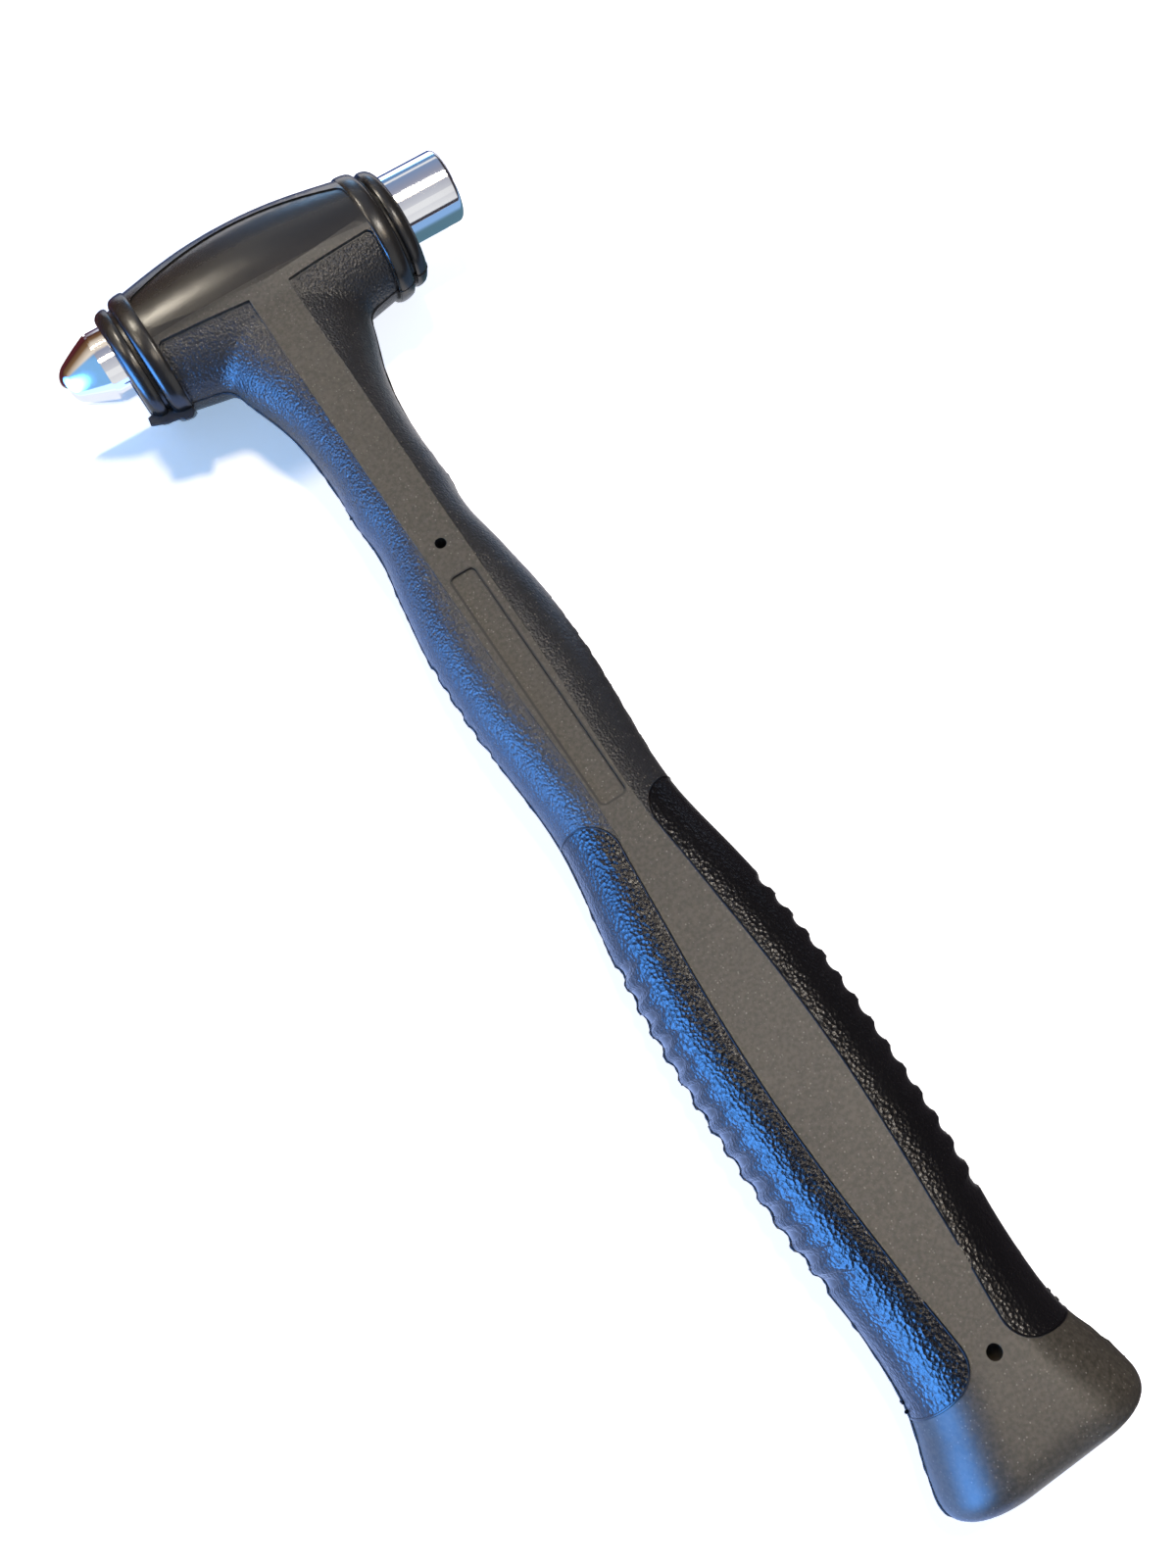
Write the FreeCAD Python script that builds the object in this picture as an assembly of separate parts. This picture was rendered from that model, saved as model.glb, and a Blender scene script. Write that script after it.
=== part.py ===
import FreeCAD, Part
import math
import os

V = FreeCAD.Vector

# Lengths are in millimetres; the hammer is drawn with its head axis on X, its handle down -Y
# and its parting plane at Z = 0, then moved so that it lies on Z = 0 under the middle of its outline

# Cutting overrun and the height of tools that cut right through
overrun = 1.0
through_reach = 60.0

# Steel head pieces, all centred on the head axis
steel_radius = 8.4
face_end_x = 51.6
face_edge_radius = 1.2
plug_end_x = 21.5
peen_shoulder_x = 39.4
peen_cone_end_x = 47.3
peen_cone_end_radius = 4.95
peen_cone_bulge = 0.12
peen_tip_x = 50.3
shoulder_groove_width = 0.5
shoulder_groove_depth = 0.35

# Shot canister and its closing welds
canister_radius = 10.3
canister_end_x = 29.5
weld_leg = 1.4

# Loose steel shot: faceted balls in layers along the bore
shot_box = 3.66
shot_corner_share = 0.2929
shot_pitch = 4.24
shot_row_rise = 3.67
shot_lowest_row_z = -5.2
shot_layers = 8

# Core rod inside the handle
rod_radius = 4.0
rod_top_y = -9.0
rod_end_y = -281.0
rod_tip_bevel = 1.0
ring_tolerance = 0.01
rod_groove_width = 3.0
rod_groove_depth = 0.7
rod_groove_first_y = -252.0
rod_groove_pitch = 8.0
rod_groove_count = 3
rod_weld_radius = 6.2
rod_weld_top_y = -9.4
rod_weld_foot_y = -13.0

# Head housing: oval sections given as distance from the middle, height and thickness halves
oval_centre_y = -3.45
barrel_mid = (0.0, 19.7, 14.0)
barrel_near = (10.0, 19.2, 13.8)
barrel_far = (19.5, 17.7, 13.25)
barrel_end = (27.4, 16.0, 12.6)
ring_stations = (
    (27.4, 16.1, 12.68),
    (27.6, 16.35, 12.8),
    (28.2, 16.5, 12.88),
    (29.4, 16.4, 12.85),
    (30.5, 16.1, 12.7),
    (31.1, 15.75, 12.5),
    (31.5, 15.2, 12.1),
    (31.8, 14.5, 11.6),
)
groove_stations = (
    (31.8, 14.0, 11.2),
    (32.5, 13.9, 11.1),
)
lip_stations = (
    (32.5, 14.3, 11.7),
    (32.7, 14.65, 11.95),
    (33.2, 14.85, 12.1),
    (34.0, 14.8, 12.05),
    (34.9, 14.5, 11.8),
    (35.5, 14.0, 11.4),
    (35.9, 13.4, 10.9),
    (36.1, 12.7, 10.3),
)
field_depth = 0.8
field_reach_x = 28.2
panel_depth = 0.3

# Outline of the smooth cheek panel, right half, from the bottom middle round to the top middle
panel_lower = ((0.0, -9.9), (12.8, -8.7), (24.4, -6.9))
panel_corner_low = ((24.4, -6.9), (26.6, -5.9), (27.2, -3.6))
panel_corner_high = ((27.2, 1.9), (26.7, 3.6), (25.2, 4.7))
panel_upper = ((25.2, 4.7), (12.6, 8.4), (0.0, 9.7))

# Outline of one textured field, from the strip to the outer corner and below the head
field_inner_y = -12.0
field_outer_y = -9.6
field_corner_x = 27.1
field_corner_radius = 1.6
field_floor_y = -30.0

# Neck column above the mould joint: distance down the handle, half width, half thickness
neck_stations = (
    (-4.0, 19.2, 10.4),
    (-15.0, 18.6, 10.75),
    (-20.5, 17.9, 11.0),
    (-25.0, 16.9, 11.1),
    (-31.0, 14.9, 11.2),
    (-38.0, 12.85, 11.3),
    (-46.0, 11.6, 11.4),
    (-53.0, 11.2, 11.4),
    (-61.0, 11.3, 11.35),
)
neck_points = 16

# Blend between housing and neck, and the space in which its seam lies
neck_blend_radius = 5.0
seam_top_y = -8.0
seam_foot_y = -24.0
seam_reach_x = 26.0
seam_shortest = 0.5

# Flat central strip: distance down the handle and half width
strip_outline = (
    (-12.0, 4.95),
    (-61.0, 4.8),
    (-100.0, 4.65),
    (-130.0, 4.25),
    (-142.0, 3.75),
    (-150.0, 3.6),
    (-157.0, 3.9),
    (-167.0, 5.05),
)

# Height of the strip face above the parting plane, from the head down to the grip
strip_profile = (
    (-12.0, 12.3),
    (-15.0, 11.75),
    (-21.0, 11.2),
    (-30.0, 11.0),
    (-61.0, 11.0),
    (-100.0, 11.2),
    (-150.0, 11.45),
    (-166.0, 11.5),
)

# Handle below the mould joint: distance, half width, half width of the flat, half thickness
handle_stations = (
    (-61.0, 11.5, 4.8, 10.5),
    (-70.0, 11.3, 4.75, 10.5),
    (-79.0, 11.4, 4.7, 10.55),
    (-87.5, 12.85, 4.65, 10.6),
    (-96.5, 14.1, 4.6, 10.7),
    (-103.0, 14.75, 4.55, 10.75),
    (-115.0, 15.05, 4.45, 10.8),
    (-125.0, 14.75, 4.3, 10.9),
    (-135.5, 13.85, 4.0, 11.0),
    (-145.0, 13.3, 3.65, 11.1),
    (-153.0, 13.4, 3.7, 11.25),
    (-160.0, 14.25, 4.3, 11.45),
    (-169.0, 15.8, 5.3, 11.65),
    (-179.0, 17.2, 6.15, 11.85),
    (-190.0, 18.3, 6.9, 12.05),
    (-202.0, 18.85, 7.4, 12.25),
    (-213.0, 18.95, 7.6, 12.4),
    (-225.0, 18.75, 7.3, 12.5),
    (-237.0, 18.35, 6.8, 12.6),
    (-249.0, 17.2, 6.1, 12.7),
    (-258.0, 16.5, 5.2, 12.85),
    (-266.0, 16.4, 4.6, 13.0),
    (-273.0, 17.1, 5.0, 13.3),
    (-279.0, 19.0, 6.2, 13.75),
    (-284.0, 20.6, 7.0, 13.9),
    (-286.5, 21.2, 7.4, 13.95),
    (-288.7, 21.3, 7.7, 13.6),
    (-290.7, 20.5, 8.0, 12.4),
    (-292.2, 18.0, 8.0, 9.7),
    (-293.2, 13.5, 7.0, 6.3),
)

# Extra sections close under the top of the handle, as distances from it
top_steps = (0.0, 0.5, 1.5, 3.5)

# Grip inserts: thickness, then the ends of their outline beyond the strip
insert_thickness = 2.6
insert_strip_edge = (
    (-158.5, 4.2),
    (-167.0, 5.0),
    (-176.0, 5.7),
    (-187.0, 6.6),
    (-197.0, 7.2),
    (-206.0, 7.5),
    (-215.0, 7.6),
    (-228.0, 7.2),
    (-236.0, 6.8),
    (-245.0, 6.15),
    (-253.0, 5.6),
    (-260.0, 4.95),
    (-266.0, 4.4),
)
insert_top_curve = ((-158.5, 4.2), (-155.0, 5.3), (-152.3, 8.0))
insert_top_crest = ((-152.3, 8.0), (-151.4, 10.4), (-151.6, 14.0))
insert_bottom_curve = ((-266.0, 4.4), (-270.2, 5.6), (-272.4, 8.6))
insert_bottom_crest = ((-272.4, 8.6), (-273.3, 12.5), (-273.8, 18.2))
insert_reach_x = 26.0

# Finger ribs: ring tools that scoop the sides between crests
rib_pitch = 5.232
grip_valley_first_y = -178.98
grip_valley_count = 14
grip_valley_depth = 0.75
choke_valley_first_y = -104.78
choke_valley_count = 5
choke_valley_depth = 0.45
scoop_radius = 3.2
grip_ring_radius = 14.0
choke_ring_radius = 45.0

# Bare label recess, and the holes left by the mould pins that held the rod: distance and radius
label_half_width = 2.9
label_top_y = -93.0
label_bottom_y = -150.9
label_corner = 1.2
label_floor_z = 10.65
pin_hole_places = ((-84.9, 1.25), (-269.9, 1.45))


def fuse_all(shapes):
    """Join a list of overlapping solids into one."""
    joined = shapes[0]
    for shape in shapes[1:]:
        joined = joined.fuse(shape)
    return joined


def mirrored_x(shape):
    """The same shape on the other side of the handle's middle plane."""
    return shape.mirror(V(0, 0, 0), V(1, 0, 0))


def mirrored_z(shape):
    """The same shape on the other side of the parting plane."""
    return shape.mirror(V(0, 0, 0), V(0, 0, 1))


def cylinder_x(radius, x_from, x_to):
    """Round bar along the head axis."""
    return Part.makeCylinder(radius, x_to - x_from, V(x_from, 0, 0), V(1, 0, 0))


def revolved_x(points):
    """Solid turned about the head axis from an outline of x and radius."""
    wire = Part.makePolygon([V(x, r, 0) for x, r in points + points[:1]])
    return Part.Face(wire).revolve(V(0, 0, 0), V(1, 0, 0), 360)


def spline_edge(points):
    """Smooth edge through points given as y and x."""
    curve = Part.BSplineCurve()
    curve.interpolate([V(x, y, 0) for y, x in points])
    return curve.toShape()


def line_edge(x1, y1, x2, y2):
    """Straight edge in the parting plane."""
    return Part.makeLine(V(x1, y1, 0), V(x2, y2, 0))


def arc_edge(points):
    """Arc through three points given as y and x."""
    start, middle, end = [V(x, y, 0) for y, x in points]
    return Part.Arc(start, middle, end).toShape()


def plan_prism(edges):
    """Block with the given plan outline that reaches through the whole thickness."""
    face = Part.Face(Part.Wire(Part.__sortEdges__(edges)))
    face.translate(V(0, 0, -through_reach))
    return face.extrude(V(0, 0, 2 * through_reach))


# Oval sections across the head
def oval_wire(station, side, inset):
    """Closed oval at one distance along the head."""
    x, height, thickness = station
    a = height - inset
    b = thickness - inset
    centre = V(side * x, oval_centre_y, 0)
    top = V(side * x, oval_centre_y + a, 0)
    front = V(side * x, oval_centre_y, b)
    return Part.Wire(Part.Ellipse(top, front, centre).toShape())


def barrel(inset):
    """Barrel-shaped middle of the housing between its two ring bands."""
    half = [barrel_near, barrel_far, barrel_end]
    wires = [oval_wire(s, -1, inset) for s in reversed(half)]
    wires.append(oval_wire(barrel_mid, 1, inset))
    wires.extend([oval_wire(s, 1, inset) for s in half])
    return Part.makeLoft(wires, True, False)


def end_rings():
    """Ring band, groove and tapered lip on the striking-face end."""
    tables = (ring_stations, groove_stations, lip_stations)
    return [Part.makeLoft([oval_wire(s, 1, 0) for s in table], True, True) for table in tables]


# Textured fields, cheek panel and strip outlines
def field_prism():
    """Plan block of the textured field on the striking-face side."""
    strip_x = strip_outline[0][1]
    r = field_corner_radius
    slope = (field_outer_y - field_inner_y) / (field_corner_x - strip_x)
    reach = field_reach_x - field_corner_x
    arc_start_x = field_corner_x - r
    arc_start_y = field_outer_y - slope * r
    arc_mid_x = field_corner_x - r * (1 - math.sqrt(0.5))
    arc_mid_y = field_outer_y - r * (1 - math.sqrt(0.5))
    arc_end_y = field_outer_y - r
    edges = [
        line_edge(strip_x, field_inner_y, arc_start_x, arc_start_y),
        arc_edge(((arc_start_y, arc_start_x), (arc_mid_y, arc_mid_x), (arc_end_y, field_corner_x))),
        line_edge(field_corner_x, arc_end_y, field_corner_x, field_floor_y),
        line_edge(field_corner_x, field_floor_y, strip_x, field_floor_y),
        line_edge(strip_x, field_floor_y, strip_x, field_inner_y),
    ]
    return plan_prism(edges)


def panel_prism():
    """Plan block of the lens-shaped cheek panel."""
    right = []
    for points in (panel_lower, panel_corner_low):
        right.append(arc_edge([(y, x) for x, y in points]))
    low = panel_corner_low[-1]
    high = panel_corner_high[0]
    right.append(line_edge(low[0], low[1], high[0], high[1]))
    for points in (panel_corner_high, panel_upper):
        right.append(arc_edge([(y, x) for x, y in points]))
    left = [mirrored_x(edge) for edge in right]
    return plan_prism(right + left)


def strip_prism():
    """Plan block of the central strip from the head to the grip."""
    right = spline_edge(strip_outline[1:])
    first_y, first_x = strip_outline[0]
    second_y, second_x = strip_outline[1]
    last_y, last_x = strip_outline[-1]
    upper_right = line_edge(first_x, first_y, second_x, second_y)
    edges = [
        line_edge(-first_x, first_y, first_x, first_y),
        upper_right,
        right,
        line_edge(last_x, last_y, -last_x, last_y),
        mirrored_x(right),
        mirrored_x(upper_right),
    ]
    return plan_prism(edges)


def strip_slab():
    """Side-on slice as thick as the strip, from the head to the grip."""
    curve = Part.BSplineCurve()
    curve.interpolate([V(0, y, z) for y, z in strip_profile])
    top = curve.toShape()
    bottom = mirrored_z(top)
    first_y, first_z = strip_profile[0]
    last_y, last_z = strip_profile[-1]
    start = Part.makeLine(V(0, first_y, -first_z), V(0, first_y, first_z))
    end = Part.makeLine(V(0, last_y, -last_z), V(0, last_y, last_z))
    wire = Part.Wire(Part.__sortEdges__([start, top, end, bottom]))
    face = Part.Face(wire)
    face.translate(V(-through_reach, 0, 0))
    return face.extrude(V(2 * through_reach, 0, 0))


# Neck and handle bodies
def neck_wire(station):
    """Closed smooth section of the neck column."""
    y, w, h = station
    points = []
    for i in range(neck_points):
        angle = 2 * math.pi * i / neck_points
        points.append(V(w * math.cos(angle), y, h * math.sin(angle)))
    curve = Part.BSplineCurve()
    curve.interpolate(points, True)
    return Part.Wire(curve.toShape())


def neck_body():
    """Flared column that joins the housing to the handle."""
    return Part.makeLoft([neck_wire(s) for s in neck_stations], True, False)


def handle_wire(station, inset):
    """Handle section: flat front and back joined by round sides."""
    y, w, flat, h = station
    w = w - inset
    h = h - inset
    right = Part.Arc(V(flat, y, h), V(w, y, 0), V(flat, y, -h)).toShape()
    left = Part.Arc(V(-flat, y, -h), V(-w, y, 0), V(-flat, y, h)).toShape()
    back = Part.makeLine(V(flat, y, -h), V(-flat, y, -h))
    front = Part.makeLine(V(-flat, y, h), V(flat, y, h))
    return Part.Wire([right, back, left, front])


def section_at(y):
    """Handle section at one height, on a smooth curve through the listed sections."""
    last = len(handle_stations) - 1
    index = 0
    while index < last - 1 and handle_stations[index + 1][0] > y:
        index += 1
    upper = handle_stations[index]
    lower = handle_stations[index + 1]
    before = handle_stations[max(index - 1, 0)]
    after = handle_stations[min(index + 2, last)]
    span = lower[0] - upper[0]
    t = (y - upper[0]) / span
    values = [y]
    for k in range(1, len(upper)):
        start = span * (lower[k] - before[k]) / (lower[0] - before[0])
        end = span * (after[k] - upper[k]) / (after[0] - upper[0])
        value = upper[k] + t * start
        value += t ** 2 * (3 * (lower[k] - upper[k]) - 2 * start - end)
        value += t ** 3 * (2 * (upper[k] - lower[k]) + start + end)
        values.append(value)
    return tuple(values)


def handle_heights():
    """Heights of the lofted sections: the listed ones, and closer ones under the top."""
    top = handle_stations[0][0]
    lowest_step = top - top_steps[-1] - overrun
    return [top - s for s in top_steps] + [s[0] for s in handle_stations if s[0] < lowest_step]


def handle_body(inset):
    """Whole handle below the mould joint, with its rounded butt."""
    wires = [handle_wire(section_at(y), inset) for y in handle_heights()]
    return Part.makeLoft(wires, True, False)


# Ribs
def rib_tools(first_y, count, depth, ring_radius):
    """Ring tools on the striking-face side, one per valley."""
    tools = []
    for i in range(count):
        y = first_y - rib_pitch * i
        half_width = section_at(y)[1]
        ring = ring_radius + scoop_radius
        tool = Part.makeTorus(ring, scoop_radius, V(0, 0, 0), V(0, 1, 0))
        tool.translate(V(half_width - depth - ring_radius, y, 0))
        tools.append(tool)
    return tools


# Grip inserts
def insert_prism():
    """Plan block of the insert on the striking-face side."""
    edge_curve = spline_edge(insert_strip_edge)
    top_y, top_x = insert_top_crest[-1]
    low_y, low_x = insert_bottom_crest[-1]
    edges = [
        edge_curve,
        arc_edge(insert_top_curve),
        arc_edge(insert_top_crest),
        line_edge(top_x, top_y, insert_reach_x, top_y),
        line_edge(insert_reach_x, top_y, insert_reach_x, low_y),
        line_edge(insert_reach_x, low_y, low_x, low_y),
        arc_edge(insert_bottom_crest),
        arc_edge(insert_bottom_curve),
    ]
    return plan_prism(edges)


def insert_blank(outer, inner):
    """Insert on the striking-face side before its ribs, wrapped from front strip edge to back."""
    return outer.common(insert_prism()).cut(inner)


def grip_insert(blank):
    """Soft insert with the scoops between its finger ribs."""
    for tool in rib_tools(grip_valley_first_y, grip_valley_count, grip_valley_depth, grip_ring_radius):
        blank = blank.cut(tool)
    return blank


# Steel pieces
def striking_face():
    """Solid plug whose outer end is the flat striking face with a rounded edge."""
    plug = cylinder_x(steel_radius, plug_end_x, face_end_x)
    edge = [e for e in plug.Edges if e.BoundBox.XMin > face_end_x - ring_tolerance]
    return plug.makeFillet(face_edge_radius, edge)


def ball_peen():
    """Solid plug whose outer end is the coned and rounded peen."""
    groove_in = peen_shoulder_x
    groove_out = peen_shoulder_x + shoulder_groove_width
    neck = steel_radius - shoulder_groove_depth
    edges = []
    profile = [
        (-plug_end_x, 0.0),
        (-plug_end_x, steel_radius),
        (-groove_in, steel_radius),
        (-groove_in, neck),
        (-groove_out, neck),
        (-groove_out, steel_radius),
    ]
    for start, end in zip(profile, profile[1:]):
        edges.append(Part.makeLine(V(start[0], start[1], 0), V(end[0], end[1], 0)))
    side_mid_x = -(groove_out + peen_cone_end_x) / 2
    side_mid_r = (steel_radius + peen_cone_end_radius) / 2 + peen_cone_bulge
    start = V(-groove_out, steel_radius, 0)
    middle = V(side_mid_x, side_mid_r, 0)
    end = V(-peen_cone_end_x, peen_cone_end_radius, 0)
    edges.append(Part.Arc(start, middle, end).toShape())
    rise = peen_tip_x - peen_cone_end_x
    nose_radius = (peen_cone_end_radius ** 2 + rise ** 2) / (2 * rise)
    nose_centre_x = peen_tip_x - nose_radius
    angle = math.asin(peen_cone_end_radius / nose_radius) / 2
    nose_x = nose_centre_x + nose_radius * math.cos(angle)
    nose = V(-nose_x, nose_radius * math.sin(angle), 0)
    tip = V(-peen_tip_x, 0, 0)
    edges.append(Part.Arc(end, nose, tip).toShape())
    edges.append(Part.makeLine(tip, V(-plug_end_x, 0, 0)))
    return Part.Face(Part.Wire(edges)).revolve(V(0, 0, 0), V(1, 0, 0), 360)


def shot_canister():
    """Steel tube between the two plugs."""
    outer = cylinder_x(canister_radius, -canister_end_x, canister_end_x)
    bore = cylinder_x(steel_radius, -canister_end_x - overrun, canister_end_x + overrun)
    return outer.cut(bore)


def end_weld():
    """Weld bead that closes the canister round the striking-face plug."""
    foot = canister_end_x + weld_leg
    bead = steel_radius + weld_leg
    return revolved_x([(canister_end_x, steel_radius), (foot, steel_radius), (canister_end_x, bead)])


def shot_ball():
    """One faceted ball centred on the origin."""
    box = Part.makeBox(shot_box, shot_box, shot_box)
    half = shot_box / 2
    box.translate(V(-half, -half, -half))
    return box.makeChamfer(shot_box * shot_corner_share, box.Edges)


def steel_shot():
    """Loose charge of balls lying in the lower part of the bore."""
    ball = shot_ball()
    rows = (
        (shot_lowest_row_z, (-0.5, 0.5)),
        (shot_lowest_row_z + shot_row_rise, (-1.0, 0.0, 1.0)),
        (shot_lowest_row_z + 2 * shot_row_rise, (-0.5, 0.5)),
    )
    balls = []
    for layer in range(shot_layers):
        x = (layer - (shot_layers - 1) / 2) * shot_pitch
        for z, steps in rows:
            for step in steps:
                placed = ball.copy()
                placed.translate(V(x, step * shot_pitch, z))
                balls.append(placed)
    return Part.makeCompound(balls)


def core_rod():
    """Steel rod that carries the handle, with locking grooves near its lower end."""
    length = rod_top_y - rod_end_y
    rod = Part.makeCylinder(rod_radius, length, V(0, rod_end_y, 0), V(0, 1, 0))
    rod = rod.makeChamfer(rod_tip_bevel, [e for e in rod.Edges if is_ring_at(e, rod_end_y)])
    for i in range(rod_groove_count):
        y = rod_groove_first_y - i * rod_groove_pitch
        tube = Part.makeCylinder(rod_radius + overrun, rod_groove_width, V(0, y, 0), V(0, 1, 0))
        hub = Part.makeCylinder(rod_radius - rod_groove_depth, rod_groove_width, V(0, y, 0), V(0, 1, 0))
        rod = rod.cut(tube.cut(hub))
    return rod.cut(cylinder_x(canister_radius, -canister_end_x, canister_end_x))


def is_ring_at(edge, y):
    """True for a round edge that lies at one height on the rod."""
    return abs(edge.BoundBox.YMin - y) < ring_tolerance and edge.BoundBox.YLength < ring_tolerance


def rod_weld():
    """Fillet weld between the rod and the canister."""
    height = rod_weld_top_y - rod_weld_foot_y
    foot = V(0, rod_weld_foot_y, 0)
    cone = Part.makeCone(rod_radius, rod_weld_radius, height, foot, V(0, 1, 0))
    rod = Part.makeCylinder(rod_radius, height, foot, V(0, 1, 0))
    return cone.cut(rod).cut(cylinder_x(canister_radius, -canister_end_x, canister_end_x))


# Casing
def blend_edges(shape):
    """Seam between the housing underside and the neck flanks."""
    picked = []
    for edge in shape.Edges:
        box = edge.BoundBox
        below = box.YMax < seam_top_y and box.YMin > seam_foot_y
        inside = box.XMin > -seam_reach_x and box.XMax < seam_reach_x
        if below and inside and box.XLength > seam_shortest:
            picked.append(edge)
    return picked


def casing_blank(outer):
    """Outside form of the moulded casing, still solid."""
    root = barrel(field_depth).fuse(neck_body()).removeSplitter()
    root = root.makeFillet(neck_blend_radius, blend_edges(root))
    shell = barrel(0)
    lens = panel_prism().cut(barrel(panel_depth))
    shell = shell.cut(lens)
    shell = shell.cut(field_prism())
    shell = shell.cut(mirrored_x(field_prism()))
    strip = strip_prism()
    flanks = root.fuse(outer).cut(strip)
    bar = strip.common(strip_slab())
    rings = end_rings()
    pieces = [flanks, bar, outer.common(strip), shell] + rings + [mirrored_x(ring) for ring in rings]
    return fuse_all(pieces)


def label_pocket():
    """Rounded recess left bare on the front of the strip."""
    width = 2 * label_half_width
    length = label_top_y - label_bottom_y
    corner = V(-label_half_width, label_bottom_y, label_floor_z)
    box = Part.makeBox(width, length, through_reach, corner)
    upright = [e for e in box.Edges if e.BoundBox.ZLength > through_reach / 2]
    return box.makeFillet(label_corner, upright)


def pin_holes():
    """Through holes left by the mould pins, one line above the other."""
    holes = []
    for y, radius in pin_hole_places:
        holes.append(Part.makeCylinder(radius, 2 * through_reach, V(0, y, -through_reach)))
    return holes


def main():
    outer = handle_body(0)
    inner = handle_body(insert_thickness)
    blank = insert_blank(outer, inner)
    insert = grip_insert(blank)
    canister_block = cylinder_x(canister_radius, -canister_end_x, canister_end_x)
    face = striking_face()
    peen = ball_peen()
    weld = end_weld()
    rod = core_rod()
    saddle = rod_weld()
    casing = casing_blank(outer)
    for tool in rib_tools(choke_valley_first_y, choke_valley_count, choke_valley_depth, choke_ring_radius):
        casing = casing.cut(tool)
        casing = casing.cut(mirrored_x(tool))
    pocket = label_pocket()
    removed = [pocket, mirrored_z(pocket)] + pin_holes()
    removed += [blank, mirrored_x(blank), canister_block, face, peen, weld, mirrored_x(weld), rod, saddle]
    for tool in removed:
        casing = casing.cut(tool)
    nodes = {
        "casing": casing,
        "grip_insert_face_side": insert,
        "grip_insert_peen_side": mirrored_x(insert),
        "striking_face": face,
        "ball_peen": peen,
        "shot_canister": shot_canister(),
        "face_weld": weld,
        "peen_weld": mirrored_x(weld),
        "steel_shot": steel_shot(),
        "core_rod": rod,
        "rod_weld": saddle,
    }
    middle_x = (face_end_x - peen_tip_x) / 2
    middle_y = (oval_centre_y + barrel_mid[1] + handle_stations[-1][0]) / 2
    to_origin = V(-middle_x, -middle_y, barrel_mid[2])
    os.makedirs("parts", exist_ok=True)
    for name, shape in nodes.items():
        shape.translate(to_origin)
        shape.exportStep("parts/" + name + ".step")


main()
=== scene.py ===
"""Looks of the dead blow ball peen hammer: moulded casing, soft grips, polished steel ends."""

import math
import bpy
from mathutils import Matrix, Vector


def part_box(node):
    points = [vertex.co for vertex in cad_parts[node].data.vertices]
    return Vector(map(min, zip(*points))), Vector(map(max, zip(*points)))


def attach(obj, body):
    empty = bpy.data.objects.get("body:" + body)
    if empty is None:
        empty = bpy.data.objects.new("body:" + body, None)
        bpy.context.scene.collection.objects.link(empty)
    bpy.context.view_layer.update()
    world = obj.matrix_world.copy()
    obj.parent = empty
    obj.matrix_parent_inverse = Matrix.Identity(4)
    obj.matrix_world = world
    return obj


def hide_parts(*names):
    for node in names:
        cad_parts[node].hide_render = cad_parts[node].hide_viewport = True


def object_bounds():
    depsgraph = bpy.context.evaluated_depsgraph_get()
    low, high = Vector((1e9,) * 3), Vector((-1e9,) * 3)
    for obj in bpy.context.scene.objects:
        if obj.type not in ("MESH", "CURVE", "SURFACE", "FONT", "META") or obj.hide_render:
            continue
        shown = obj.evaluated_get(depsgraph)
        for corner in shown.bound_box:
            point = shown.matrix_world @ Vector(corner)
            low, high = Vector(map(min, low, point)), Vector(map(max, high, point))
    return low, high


bl_info = {
    "name": "Dead Blow Ball Peen Hammer",
    "version": (1, 0, 0),
    "blender": (4, 5, 0),
    "location": "View3D > Sidebar > Hammer",
    "description": "Dresses the hammer's frame in its real finishes and sets up the stage",
    "category": "Object",
}

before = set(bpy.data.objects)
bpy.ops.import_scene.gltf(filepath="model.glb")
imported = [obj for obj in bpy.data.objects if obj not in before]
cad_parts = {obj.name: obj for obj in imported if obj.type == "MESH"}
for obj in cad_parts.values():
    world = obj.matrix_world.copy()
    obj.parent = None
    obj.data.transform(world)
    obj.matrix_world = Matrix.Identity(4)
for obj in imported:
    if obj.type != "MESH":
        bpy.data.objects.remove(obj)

import bmesh
import bpy
from mathutils import Vector, noise
from mathutils.bvhtree import BVHTree

MM = 0.001
CAD_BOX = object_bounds()

# The head axis runs through the middle of the striking face, and X = 0 of the mould lies between the grips
FACE_LOW, FACE_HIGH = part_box("striking_face")
PEEN_LOW, PEEN_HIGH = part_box("ball_peen")
SHELL_LOW, SHELL_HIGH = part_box("casing")
# Steel ends: where both plugs start, then the peen's shoulder, its groove and the end of its cone
FACE_PLUG_MM = 21.5
SHOULDER_MM = 39.4
GROOVE_WIDTH_MM = 0.5
GROOVE_DEPTH_MM = 0.35
CONE_END_MM = 47.3
CONE_RADIUS_MM = 4.95
CONE_BULGE_MM = 0.12
# Steps in which the rim, the cone and the nose are rounded, and the angles above which edges stay sharp
RIM_STEPS = 6
CONE_STEPS = 5
NOSE_STEPS = 12
STEEL_SHARP_DEGREES = 30
CASING_SHARP_DEGREES = 28
GRIP_SHARP_DEGREES = 40
AXIS_Y = (FACE_LOW[1] + FACE_HIGH[1]) / 2
AXIS_Z = (FACE_LOW[2] + FACE_HIGH[2]) / 2
MIDDLE_X = (SHELL_LOW[0] + SHELL_HIGH[0]) / 2


def linear(hex_code):
    """Linear colour of an sRGB hex value."""
    channels = [int(hex_code[i : i + 2], 16) / 255 for i in (1, 3, 5)]
    return [c / 12.92 if c <= 0.04045 else ((c + 0.055) / 1.055) ** 2.4 for c in channels]


def add_node(tree, kind, inputs=None, **settings):
    """Adds a node with its settings and links."""
    node = tree.nodes.new(kind)
    for name, value in settings.items():
        setattr(node, name, value)
    for key, value in (inputs or {}).items():
        if isinstance(value, bpy.types.NodeSocket):
            tree.links.new(value, node.inputs[key])
        else:
            node.inputs[key].default_value = value
    return node


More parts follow.
